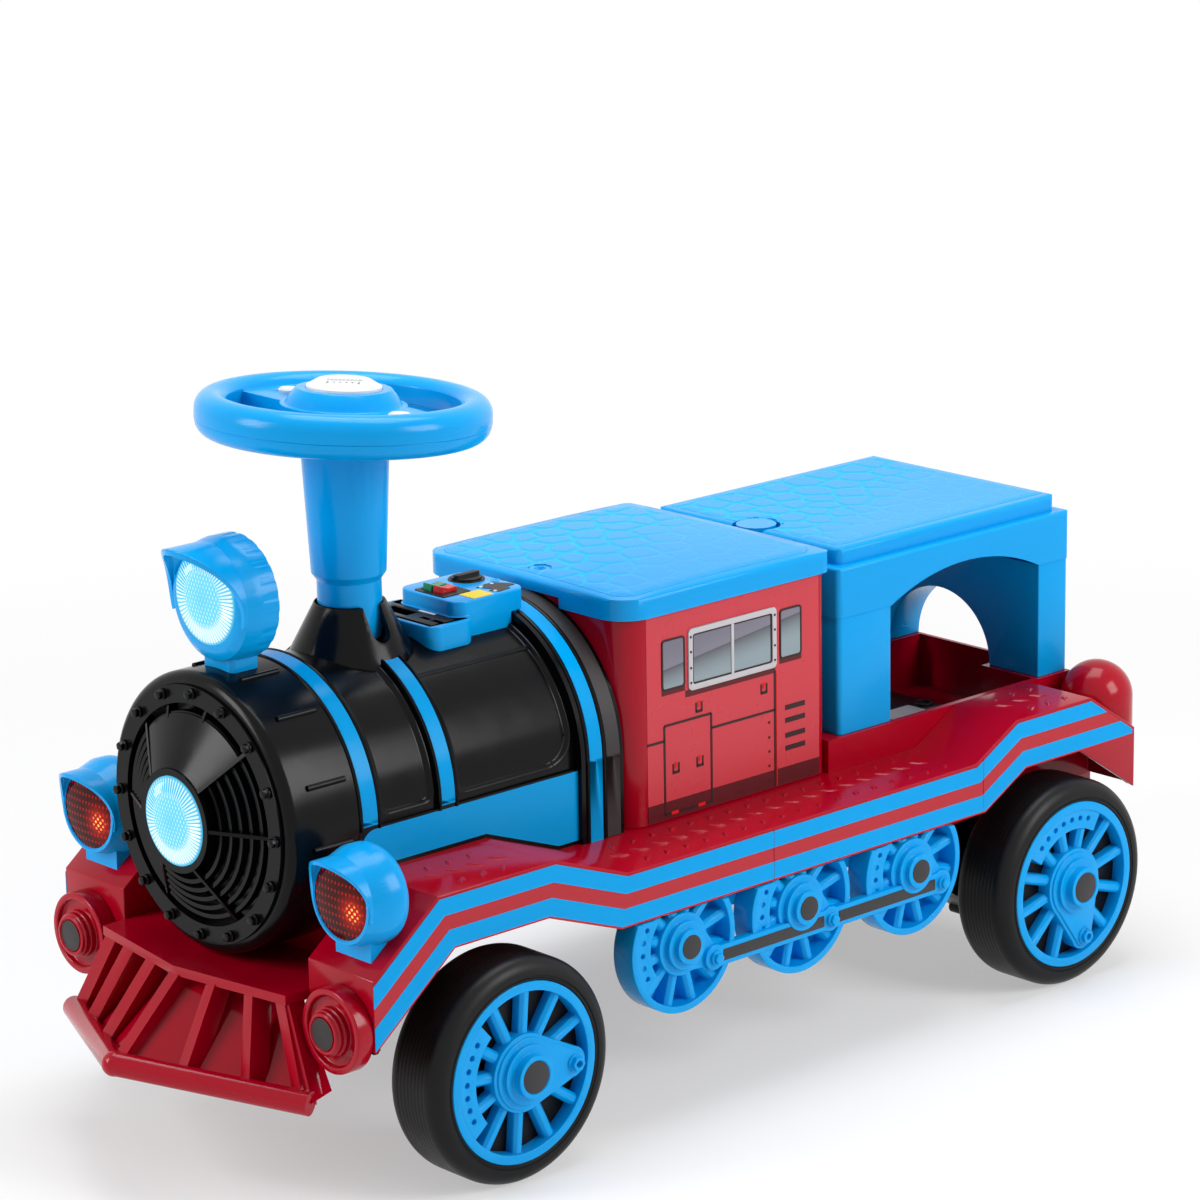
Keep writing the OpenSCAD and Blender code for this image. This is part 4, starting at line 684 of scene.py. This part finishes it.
def barrel_skin(name, x0, x1, rear_round, front_round):
    """Recessed barrel panel: a raised rim whose inner corners are rounded."""
    margin, foot, relief = 5.0, 7.0, 3.0
    low, high = -2.0, 182.0
    arc = math.radians(1) * PANEL_R

    def rim(x, a):
        """Distance from the recess edge, positive on the rim."""
        across = min(a - low, high - a) * arc - foot
        rear, front = x - x0 - margin, x1 - margin - x
        along, corner = (rear, rear_round) if rear < front else (front, front_round)
        if across < corner and along < corner:
            return math.hypot(corner - across, corner - along) - corner
        return -min(across, along)

    def point(u, v):
        x, a = x0 + (x1 - x0) * u, low + (high - low) * v
        r = PANEL_R + 0.4 + relief * smooth_step(-1.8, 1.2, rim(x, a))
        t = math.radians(a)
        return (x, r * math.cos(t), BOILER_Z + r * math.sin(t))

    return sheet(name, round((x1 - x0) / 1.2), 260, point, black_gloss, "black_plastic")


barrel_skin("front_barrel_panel", 263, 325, 7.0, 7.0)
barrel_skin("rear_barrel_panel", 111, 244, 26.0, 7.0)

PANEL_TOP_Z = 288.5
panel_front = rounded_outline(300, 345, 200, PANEL_TOP_Z, 14.0, 8)[:9]
panel_edge = (
    panel_front
    + [(112, PANEL_TOP_Z), (112, DECK_Z + 3.5), (135, DECK_Z + 3.5), (214, ARCH_Z + 3.5), (338, ARCH_Z + 3.5)]
    + [(345, ARCH_Z - 2.0)]
)
for side, sign in SIDES.items():
    build = Build()
    build.prism(panel_edge, HOOP_R - 0.2, HOOP_R + 0.5, on_side(sign))
    build.piece(f"{side}_boiler_panel", stripe_blue, "blue_plastic")


SMOKEBOX_X = 419
GRILLE_R = 92
BEZEL_R = 43
CONE_REACH = 24
SECTOR = (45.0, 135.0)


def sector_skin():
    """Smooth plain sector over the top of the grille's cone."""
    inner, outer, lift, sheet_t = BEZEL_R + 0.3, GRILLE_R - 8.0, 1.25, 0.6

    def cone(r):
        return SMOKEBOX_X - 4 + CONE_REACH * (GRILLE_R - r) / (GRILLE_R - BEZEL_R) + lift

    profile = [(inner, cone(inner) - sheet_t), (outer, cone(outer) - sheet_t), (outer, cone(outer)),
               (inner, cone(inner))]
    build = Build()
    build.spin(profile, along_boiler, 72, SECTOR[0] + 1.2, SECTOR[1] - SECTOR[0] - 2.4)
    build.piece("smokebox_sector", black_gloss, "black_plastic")


sector_skin()


# Cab side prints

PRINT_X = (-164.5, 40)
PRINT_Z = (226.5, 406.5)
PRINT_Y = CAB_Y + 0.3
WINDOW_X = (-112, -7.5)
WINDOW_Z = (334, 388)
SMALL_WINDOWS = ((-143, -116.5), (-4, 23))
SMALL_Z = (339.5, 384)
DARK_TOP = 242
LINE = 1.1


def printed(side, name, shapes, paint, proud, slot="red_plastic"):
    build = Build()
    for outline in shapes:
        build.prism(outline, PRINT_Y - 0.4, PRINT_Y + proud, on_side(SIDES[side]))
    build.piece(f"{side}_{name}", paint, slot)


def rule(x0, z0, x1, z1, wide=LINE):
    """A thin printed line, upright or level."""
    if x0 == x1:
        return box_outline(x0 - wide, x0 + wide, min(z0, z1), max(z0, z1))
    return box_outline(min(x0, x1), max(x0, x1), z0 - wide, z0 + wide)


def hook(x, z):
    """A printed catch with two uprights on a bar."""
    half, high = 3.2, 8
    uprights = [rule(at, z, at, z + high, 0.9) for at in (x - half, x + half)]
    return uprights + [rule(x - 4, z, x + 4, z, 1.2)]


HOOKS = ((7.4, 266), (-20.7, 266), (-20.1, 314), (-97.5, 314))
LOUVRES_Z = (258.5, 270, 283.5, 295)
RIVETS_Z = (233.5, 247, 260, 272.6, 286)
DOOR = [
    rule(20.5, 231, 20.5, 309), rule(-34.3, 231, -34.3, 309), rule(20.5, 309, -34.3, 309),
    rule(40, 296, 20.5, 296), rule(-34.3, 296, -110.5, 296), rule(-110.5, 227, -110.5, 331),
    rule(20.5, 231, -34.3, 231),
]
for side, sign in SIDES.items():
    printed(side, "print_base", [box_outline(*PRINT_X, *PRINT_Z)], print_red, 0.0)
    printed(side, "print_foot", [box_outline(*PRINT_X, PRINT_Z[0], DARK_TOP)], print_shade, 0.15)
    printed(side, "print_lines", DOOR + [shape for at in HOOKS for shape in hook(*at)]
            + [box_outline(-147, -123, z - 2.2, z + 2.2) for z in LOUVRES_Z]
            + [disc_outline(1.3, -103.5, z, 12) for z in RIVETS_Z], print_dark, 0.35)
    printed(side, "print_tabs", [box_outline(x - 4, x + 4, 229.6, 232.4) for x in (9.4, -22)]
            + [rule(x, z + 4, x, z + 9, 1.1) for x, z in HOOKS]
            + [rule(-112.4, 227, -112.4, 331, 0.5)], print_bright, 0.5)
    build = Build()
    place = on_side(sign)
    outer = rounded_outline(*WINDOW_X, *WINDOW_Z, 4.5)
    inner = rounded_outline(WINDOW_X[0] + 5, WINDOW_X[1] - 5, WINDOW_Z[0] + 5, WINDOW_Z[1] - 5, 2.5)
    build.border(outer, inner, PRINT_Y - 0.3, PRINT_Y + 1.6, place)
    middle = sum(WINDOW_X) / 2
    post = rule(middle, WINDOW_Z[0] + 4, middle, WINDOW_Z[1] - 4, 1.6)
    build.prism(post, PRINT_Y - 0.3, PRINT_Y + 1.2, place)
    build.piece(f"{side}_window_frame", frame_silver, "pale_plastic", bevel=0.35)
    build = Build()
    for x in (WINDOW_X[0] + 2.5, WINDOW_X[1] - 2.5):
        for z in (341, 354, 368, 381):
            build.prism(disc_outline(1.1, x, z, 12), PRINT_Y, PRINT_Y + 2.0, place)
    for x0, x1 in SMALL_WINDOWS:
        build.border(rounded_outline(x0, x1, *SMALL_Z, 3.5),
                     rounded_outline(x0 + 1.6, x1 - 1.6, SMALL_Z[0] + 1.6, SMALL_Z[1] - 1.6, 2.4),
                     PRINT_Y - 0.3, PRINT_Y + 0.8, place)
    build.border(inner, rounded_outline(WINDOW_X[0] + 6.4, WINDOW_X[1] - 6.4,
                                        WINDOW_Z[0] + 6.4, WINDOW_Z[1] - 6.4, 1.8),
                 PRINT_Y - 0.3, PRINT_Y + 0.9, place)
    build.piece(f"{side}_window_rims", print_dark, "black_plastic")
    build = Build()
    build.prism(inner, PRINT_Y - 0.3, PRINT_Y + 0.4, place)
    for x0, x1 in SMALL_WINDOWS:
        build.prism(rounded_outline(x0 + 1, x1 - 1, SMALL_Z[0] + 1, SMALL_Z[1] - 1, 2.8),
                    PRINT_Y - 0.3, PRINT_Y + 0.4, place)
    build.piece(f"{side}_window_panes", glass, "pale_plastic")
    shadows = [box_outline(WINDOW_X[0] + 1, WINDOW_X[1] + 3, WINDOW_Z[0] - 5, WINDOW_Z[0] + 1)]
    shadows += [box_outline(x0, x1, SMALL_Z[0] - 4, SMALL_Z[0] + 2) for x0, x1 in SMALL_WINDOWS]
    printed(side, "window_shadow", shadows, print_shade, 0.2)


# Cobbled tops


class Cobbles:
    """Worn paving pattern: 1 on a stone, 0 in the joints."""

    def __init__(self, seed, pitch, joint):
        self.seed, self.pitch, self.joint = seed, pitch, joint
        self.stones = {}

    def stone(self, i, j):
        if (i, j) not in self.stones:
            draw = random.Random(f"{self.seed} {i} {j}")
            jog = 0.5 if j % 2 else 0.0
            self.stones[i, j] = (
                (i + jog + draw.uniform(-0.33, 0.33)) * self.pitch,
                (j + draw.uniform(-0.33, 0.33)) * self.pitch * 0.9,
                draw.uniform(0.5, 1.5),
            )
        return self.stones[i, j]

    def height(self, x, y):
        ci, cj = round(x / self.pitch), round(y / (self.pitch * 0.9))
        stones = [self.stone(i, j) for i in range(ci - 2, ci + 3) for j in range(cj - 2, cj + 3)]
        near = sorted((math.hypot(x - sx, y - sy), gap) for sx, sy, gap in stones)
        joint = self.joint * (near[0][1] + near[1][1]) / 2
        corner = 1.0 + 0.9 * (1 - smooth_step(0.0, 7.0, near[2][0] - near[0][0]))
        return smooth_step(joint * corner * 0.5, joint * corner * 0.5 + 1.2, (near[1][0] - near[0][0]) / 2)


def cobbled_top(name, x, half_y, level, seed, hole, corner):
    """Relief skin on a level top, fading out towards its edges and worn towards the rear left corner."""
    stones = Cobbles(seed, 31.0, 2.7)
    relief, fade, step = 0.8, 9.0, 1.7
    wear = 0.9

    def inside(px, py):
        """Distance inside the rounded outline."""
        cx = max(0.0, abs(px - sum(x) / 2) - (x[1] - x[0]) / 2 + corner)
        cy = max(0.0, abs(py) - half_y + corner)
        return corner - math.hypot(cx, cy)

    def worn(px, py):
        """Stone height, with the joints worn away towards the rear left corner."""
        towards = 0.6 * (x[0] + x[1] - 2 * px) / (x[1] - x[0]) + py / half_y
        return 1 - (1 - stones.height(px, py)) * (1 - wear * smooth_step(-0.3, 0.6, towards))

    def mark(px, py, _):
        return 1 - (1 - worn(px, py)) * smooth_step(0.0, fade, inside(px, py))

    def point(u, v):
        px, py = x[0] + (x[1] - x[0]) * u, half_y * (2 * v - 1)
        rise = smooth_step(0.0, fade, inside(px, py)) * relief
        return (px, py, level(px, py) + 0.12 + rise * worn(px, py))

    def keep(px, py, _):
        return math.hypot(px - hole[0], py - hole[1]) > hole[2] and inside(px, py) > 0

    return sheet(name, round((x[1] - x[0]) / step), round(2 * half_y / step), point, cobbled, "blue_plastic",
                 keep, mark, 0.5)


ROOF_X = (-179, 70)
ROOF_CROWN_Z = 430
ROOF_DOME_R = 3242.0


def roof_level(x, y):
    return ROOF_CROWN_Z - ((x - sum(ROOF_X) / 2) ** 2 + y ** 2) / (2 * ROOF_DOME_R)


cobbled_top("roof_cobbles", (-170, 61), 121, roof_level, 3, (45, 0, 9), 22.0)
BENCH_TOP_Z = 420
BENCH_CAP = (-213, 0, 23.0)
bench_cobbles = cobbled_top("bench_cobbles", (-477, -206), 107, lambda x, y: BENCH_TOP_Z, 8, BENCH_CAP, 8.0)
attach(bench_cobbles, "bench")


# Lenses


def lens(name, node, x, y, z, radius, dome, material, slot, flutes, thick=7.0):
    """Domed lens with radial flutes round a plain middle."""
    rings, steps = 22, 128
    mesh = bpy.data.meshes.new(name)
    shape = bmesh.new()
    layer = shape.loops.layers.uv.new("lens")

    def front(r, a):
        ridge = flutes * smooth_step(0.55, 0.7, r) * (1 - smooth_step(0.92, 1.0, r)) * math.cos(64 * a) * 0.5
        return x + dome * (1 - r * r) + ridge

    def vert(r, a, depth):
        across, rise = radius * r * math.cos(a), radius * r * math.sin(a)
        return shape.verts.new(Vector((depth, y + across, z + rise)) * MM)

    turns = [2 * math.pi * k / steps for k in range(steps)]
    loops = [[vert(i / rings, a, front(i / rings, a)) for a in turns] for i in range(1, rings + 1)]
    loops.append([vert(1.0, a, x - thick) for a in turns])
    middle = vert(0.0, 0.0, front(0.0, 0.0))
    for k in range(steps):
        shape.faces.new([middle, loops[0][k], loops[0][(k + 1) % steps]])
        for near, far in zip(loops, loops[1:]):
            shape.faces.new([near[k], far[k], far[(k + 1) % steps], near[(k + 1) % steps]])
    shape.faces.new(loops[-1][::-1])
    bmesh.ops.recalc_face_normals(shape, faces=shape.faces)
    for face in shape.faces:
        for loop in face.loops:
            co = loop.vert.co / MM
            loop[layer].uv = (0.5 + (co.y - y) / radius / 2, 0.5 + (co.z - z) / radius / 2)
    shape.to_mesh(mesh)
    shape.free()
    obj = settle(name, mesh, material, slot)
    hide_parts(node)
    return obj


def node_place(node):
    low, high = (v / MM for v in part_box(node))
    return low, high


def lens_over(node, material, slot, dome, flutes):
    low, high = node_place(node)
    middle = (low + high) / 2
    radius = (high.z - low.z) / 2
    lens(f"{node}_glass", node, high.x - dome, middle.y, middle.z, radius, dome, material, slot, flutes)


lens_over("boiler_lens", lens_lit, "clear_lens", 5.0, 0.7)
lens_over("headlamp_lens", lens_lit, "clear_lens", 4.0, 0.7)
lens_over("left_lamp_lens", lens_ruby, "red_lens", 3.0, 0.0)
lens_over("right_lamp_lens", lens_ruby, "red_lens", 3.0, 0.0)


def brow(name, x, y, z, radius, reach, thick):
    """Round brow over a lamp whose front edge slants back towards the sides."""
    low, root, sweep = 0.3, 3.0, 2.6
    start = -math.asin(low)

    def point(u, v):
        a = start + (math.pi - 2 * start) * u
        edge = x + reach * max(0.0, (math.sin(a) + low) / (1 + low)) ** sweep
        return (x - root + (edge - x + root) * v, y + radius * math.cos(a), z + radius * math.sin(a))

    obj = sheet(name, 96, 16, point, blue_plastic, "blue_plastic", thick=thick)
    round_edge = add_bevel(obj, 1.2)
    obj.modifiers.move(obj.modifiers.find(round_edge.name), 1)


HEADLAMP = (400, 0, 467.7)
SIDE_LAMP = (407, 165, 258)
brow("headlamp_brow", *HEADLAMP, 48.6, 33.5, 5.0)
for side, sign in SIDES.items():
    x, y, z = SIDE_LAMP
    brow(f"{side}_lamp_brow", x, sign * y, z, 36.5, 19.5, 3.4)


# Wheels

COVER_DEPTH = 14
HUB_FACE_Y = 239.0


def on_axle(x, side, face=WHEEL_IN_Y):
    """Places (along x, up, outwards) round a wheel's axle."""
    return lambda u, v, w: (x + u, side * (face + w), TYRE_R + v)


def tyre_profile():
    """Half section of the tyre: web and hub inside, ringed tread and a stepped side outside."""
    bore, hub, shoulder, wall, recess, rim = 5.05, 18, 13.0, 17.0, 26.0, 76.4
    web = TYRE_W - COVER_DEPTH
    groove = TYRE_W - 0.9
    inner = TYRE_R - shoulder
    turns = [math.pi / 2 * k / 10 for k in range(11)]
    points = [(bore, 0), (hub, 0), (hub, recess), (TYRE_R - wall, recess), (TYRE_R - wall, 0)]
    points += [(inner + shoulder * math.sin(a), shoulder - shoulder * math.cos(a)) for a in turns]
    for k in range(8):
        h = shoulder + 3 + k * 4.2
        points += [(TYRE_R, h - 0.5), (TYRE_R - 0.15, h), (TYRE_R, h + 0.5)]
    points += [(inner + shoulder * math.cos(a), TYRE_W - shoulder + shoulder * math.sin(a)) for a in turns]
    points += [(80.4, TYRE_W), (79.8, groove), (78.6, groove), (78.0, TYRE_W), (rim + 0.8, TYRE_W)]
    points += [(rim, TYRE_W - 0.8), (rim, web), (bore, web)]
    return points


for end, x in AXLE_X.items():
    for side, sign in SIDES.items():
        body = f"{end}_{side}_wheel"
        build = Build()
        build.spin(tyre_profile(), on_axle(x, sign), 128)
        tyre = build.piece(f"{end}_{side}_tread_tyre", tyre_black, "tyre_plastic", body)
        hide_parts(f"{end}_{side}_tyre")
        build = Build()
        build.spin([(0.01, -0.2), (13.6, -0.2), (13.6, 0.35), (13.0, 0.6), (0.01, 0.6)],
                   on_axle(x, sign, HUB_FACE_Y), 48)
        build.piece(f"{end}_{side}_hub_disc", disc_grey, "black_plastic", body)


# Wheel trims and buffers

TRIM_X = (76, -62, -200)
TRIM_Z = 149
TRIM_FACE_Y = 214
ROD_FACE_Y = 208
ROD_Z = 130
PIN_X = (43, -95, -233)
for side, sign in SIDES.items():
    place = on_side(sign)
    build = Build()
    for x in TRIM_X:
        build.prism(disc_outline(10.5, x, TRIM_Z, 40), TRIM_FACE_Y - 0.2, TRIM_FACE_Y + 0.5, place)
    for near, far in zip(PIN_X, PIN_X[1:]):
        build.prism(rounded_outline(far + 9, near - 9, ROD_Z - 5, ROD_Z + 5, 1.0), ROD_FACE_Y - 0.2,
                    ROD_FACE_Y + 0.5, place)
    build.piece(f"{side}_trim_prints", disc_grey, "black_plastic", bevel=0.2)

BUFFER = (430, 166, 154)
BUFFER_DISC_R = 13.2
build = Build()
for sign in SIDES.values():
    disc = disc_outline(BUFFER_DISC_R, 0, 0, 40)
    build.prism(disc, BUFFER[0] - 0.2, BUFFER[0] + 0.6, facing_front(sign * BUFFER[1], BUFFER[2]))
build.piece("buffer_discs", disc_grey, "black_plastic", bevel=0.2)


# Console and steering wheel details

CONSOLE_Z = 429
MEDIA_PANEL_Z = 416
KEY_AT = (113, -17)
BUTTON_AT = (99.4, 4.1)
BEZEL = (137, 168, -21, 17)
ROCKERS = (142.8, 163.2, -17.7, 6.7)
PATCH = (129.5, 152, 17.8, 37)
SLOT = (177, 180, -2, 18)
SPLASH = [
    (127, 11), (118, 12), (116, 8), (106, 9), (97, 21), (97, 26),
    (106, 27), (108, 33), (122, 35), (126, 27), (120, 24),
]
MARKS = ((123, 31), (110, 12), (124, 14))
on_console = flat_at(0, 0, CONSOLE_Z)
build = Build()
build.border(rounded_outline(*BEZEL, 2.0), rounded_outline(*ROCKERS, 0.5), -0.2, 0.7, on_console)
build.prism(SPLASH, -0.2, 0.4, on_console)
build.spin([(13.4, -0.2), (16.0, -0.2), (15.4, 0.9), (13.4, 0.9)], flat_at(*KEY_AT, CONSOLE_Z), 48)
build.piece("console_prints", black_satin, "black_plastic")
build = Build()
build.prism(rounded_outline(*PATCH, 1.0), -0.2, 0.35, on_console)
build.piece("console_patch", yellow_print, "pale_plastic")
build = Build()
for x, y in MARKS:
    build.prism(disc_outline(1.6, x, y, 16), 0.0, 0.8, on_console)
build.prism(rounded_outline(*SLOT, 0.8), 0.0, 1.3, flat_at(0, 0, MEDIA_PANEL_Z))
build.piece("console_marks", pale_plastic, "pale_plastic")
build = Build()
build.spin([(2.2, -0.2), (4.2, -0.2), (3.9, 0.5), (2.2, 0.1)], flat_at(*BUTTON_AT, CONSOLE_Z), 32)
build.piece("console_button", blue_plastic, "blue_plastic")


WHEEL_AT = (254.0, 600.5)
WHEEL_LEAN = math.radians(4.0)
CAP_TOP = 25.0
CAP_TURN = math.radians(47.0)


def on_wheel(u, v, w):
    """Places (towards the slots, across, up) in the leaning steering wheel."""
    x = u * math.cos(CAP_TURN) - v * math.sin(CAP_TURN)
    y = u * math.sin(CAP_TURN) + v * math.cos(CAP_TURN)
    lean, rise = math.sin(WHEEL_LEAN), math.cos(WHEEL_LEAN)
    return (WHEEL_AT[0] + x * rise - w * lean, y, WHEEL_AT[1] + x * lean + w * rise)


HOLE_R = 0.75
HOLE_PITCH = 3.2
HOLE_ROWS = (2.5, 5.5, 8.5)
# Flush dark discs where the cap has holes: painted shade standing for the dark inside each hole.
build = Build()
for row, reach in enumerate(HOLE_ROWS):
    for k in range(-4, 5):
        hole = disc_outline(HOLE_R, reach, HOLE_PITCH * (k + 0.5 * (row % 2)), 10)
        build.prism(hole, CAP_TOP - 0.2, CAP_TOP + 0.12, on_wheel)
build.piece("cap_hole_shade", disc_grey, "black_plastic", "steering")


# Skirt seams

SEAMS_X = (-32.0, -292.0)
SEAM_HALF = 0.15
build = Build()
for x in SEAMS_X:
    top = deck_height(x)
    seam = box_outline(x - SEAM_HALF, x + SEAM_HALF, top - BAND_H + 1, top - 2)
    for sign in SIDES.values():
        build.prism(seam, SKIRT_Y - 0.2, SKIRT_Y + 0.62, on_side(sign))
build.piece("skirt_seams", print_shade, "red_plastic")


# Bulkhead between the deck, the shelf and the drum

BULKHEAD_X = (346.2, 349.4)
BULKHEAD_Y = 120.5
BULKHEAD_Z = (168.5, ARCH_Z - 4.2)
DRUM_CLEAR_R = HOOP_R + 1.2
BULKHEAD_RIBS_Y = (88, 106)


def front_bulkhead():
    """Upright plate with a round cradle for the drum, low ribs and a lip that meets the drum."""
    (x0, x1), (low, top), r = BULKHEAD_X, BULKHEAD_Z, DRUM_CLEAR_R
    place = facing_front(0, 0)
    reach = math.asin(math.sqrt(r ** 2 - (BOILER_Z - top) ** 2) / r)
    turns = [reach * k / 24 for k in range(24, -25, -1)]
    cradle = [(r * math.sin(a), BOILER_Z - r * math.cos(a)) for a in turns]
    corners = [(-BULKHEAD_Y, top), (-BULKHEAD_Y, low), (BULKHEAD_Y, low), (BULKHEAD_Y, top)]
    build = Build()
    build.prism(corners + cradle, x0, x1, place)
    for y in BULKHEAD_RIBS_Y:
        rib_top = BOILER_Z - math.sqrt(r ** 2 - (y - 2) ** 2) - 2
        for sign in SIDES.values():
            build.prism(box_outline(sign * y - 1.2, sign * y + 1.2, low, rib_top), x1 - 0.2, x1 + 0.5, place)
    lip = [(HOOP_R - 0.2, x0), (r, x0), (r, x1), (HOOP_R - 0.2, x1)]
    build.spin(lip, along_boiler, 96, -160.0, 140.0)
    build.piece("front_bulkhead", red_plastic, "red_plastic")


front_bulkhead()


# Storage tub label

COVER_LATCH = 2.0
LABEL_X = (-418, -366)
LABEL_Y = (-8, 40)


def label_outline(inset, radius):
    (x0, x1), (y0, y1) = LABEL_X, LABEL_Y
    return rounded_outline(x0 + inset, x1 - inset, y0 + inset, y1 - inset, radius)


on_cover = flat_at(0, 0, node_place("battery_cover")[1].z - COVER_LATCH)
build = Build()
build.prism(label_outline(0, 2.0), -0.2, 0.35, on_cover)
build.border(label_outline(2, 1.5), label_outline(3, 1.0), 0.2, 0.5, on_cover)
build.piece("tub_label", label_pale, "pale_plastic")


# Stage, light and camera

floor_mesh = bpy.data.meshes.new("floor")
FLOOR = 30.0
floor_mesh.from_pydata([(-FLOOR, -FLOOR, 0), (FLOOR, -FLOOR, 0), (FLOOR, FLOOR, 0), (-FLOOR, FLOOR, 0)], [],
                       [(0, 1, 2, 3)])
floor = bpy.data.objects.new("floor", floor_mesh)
bpy.context.scene.collection.objects.link(floor)


def floor_paint():
    """Pale floor that keeps the shadow near the train and is plain white further off."""
    paint = Paint("floor_paint", Roughness=0.9)
    place = paint.place()
    paint.feed("Base Color", (0.86, 0.86, 0.87, 1))
    away = paint.add("ShaderNodeVectorMath", operation="LENGTH")
    paint.put(away.inputs[0], place)
    white = paint.add("ShaderNodeEmission")
    path = paint.add("ShaderNodeLightPath")
    mirrored = paint.math("MAXIMUM", path.outputs["Is Glossy Ray"], path.outputs["Is Transmission Ray"])
    seen = paint.math("MAXIMUM", path.outputs["Is Camera Ray"], mirrored)
    blend = paint.add("ShaderNodeMixShader")
    plain = paint.between(away.outputs["Value"], 0.5, 1.9, 0.42, 1.0)
    paint.put(blend.inputs[0], paint.math("MULTIPLY", seen, plain))
    paint.put(blend.inputs[1], paint.bsdf.outputs[0])
    paint.put(blend.inputs[2], white.outputs[0])
    paint.put(paint.tree.nodes["Material Output"].inputs["Surface"], blend.outputs[0])
    return paint.material


floor_mesh.materials.append(floor_paint())

WORLD_LIGHT = 0.26


def studio_world():
    """Even light on the train, and plain white where the world itself is seen or mirrored."""
    world = bpy.data.worlds.new("studio")
    bpy.context.scene.world = world
    world.use_nodes = True
    nodes, links = world.node_tree.nodes, world.node_tree.links
    sky = nodes["Background"]
    sky.inputs["Color"].default_value = (1, 1, 1, 1)
    path = nodes.new("ShaderNodeLightPath")
    seen = path.outputs["Is Camera Ray"]
    for ray in ("Is Glossy Ray", "Is Transmission Ray"):
        either = nodes.new("ShaderNodeMath")
        either.operation = "MAXIMUM"
        links.new(seen, either.inputs[0])
        links.new(path.outputs[ray], either.inputs[1])
        seen = either.outputs[0]
    strength = nodes.new("ShaderNodeMapRange")
    strength.inputs["To Min"].default_value = WORLD_LIGHT
    strength.inputs["To Max"].default_value = 1.0
    links.new(seen, strength.inputs["Value"])
    links.new(strength.outputs["Result"], sky.inputs["Strength"])


studio_world()


def softbox(name, at, aim, size, power):
    light = bpy.data.lights.new(name, "AREA")
    light.shape = "RECTANGLE"
    light.size, light.size_y = size
    light.energy = power
    lamp = bpy.data.objects.new(name, light)
    bpy.context.scene.collection.objects.link(lamp)
    lamp.location = at
    lamp.rotation_euler = (Vector(aim) - Vector(at)).to_track_quat("-Z", "Y").to_euler()


softbox("top_light", (-0.3, -0.2, 2.6), (0, 0, 0.2), (1.8, 1.5), 46.0)
softbox("right_light", (-0.9, 2.3, 1.5), (0, 0, 0.25), (1.2, 1.4), 46.0)
softbox("front_light", (2.3, -0.9, 1.4), (0, 0, 0.25), (0.9, 1.4), 40.0)

# The photograph's view: azimuth from straight ahead of -Y, height angle, roll and distance
AZIMUTH = math.radians(137.52)
ELEVATION = math.radians(14.96)
ROLL = math.radians(-0.98)
DISTANCE = 3.94491
CENTRE = Vector((-0.057, 0.0, 0.0))
PAN = (-0.03093, 0.3678)
level = Vector((math.cos(AZIMUTH), math.sin(AZIMUTH), 0.0))
ahead = Vector((math.sin(AZIMUTH), -math.cos(AZIMUTH), 0.0))
back = ahead * math.cos(ELEVATION) + Vector((0.0, 0.0, math.sin(ELEVATION)))
tilt = Matrix.Rotation(ROLL, 3, back)
right, up = tilt @ level, tilt @ back.cross(level)
camera = bpy.data.objects.new("camera", bpy.data.cameras.new("camera"))
bpy.context.scene.collection.objects.link(camera)
camera.data.lens = 133.045
camera.data.sensor_width = 36.0
stand = CENTRE + back * DISTANCE + right * PAN[0] + up * PAN[1]
camera.matrix_world = Matrix.Translation(stand) @ Matrix((right, up, back)).transposed().to_4x4()
bpy.context.scene.camera = camera
bpy.context.scene.view_settings.view_transform = "Standard"
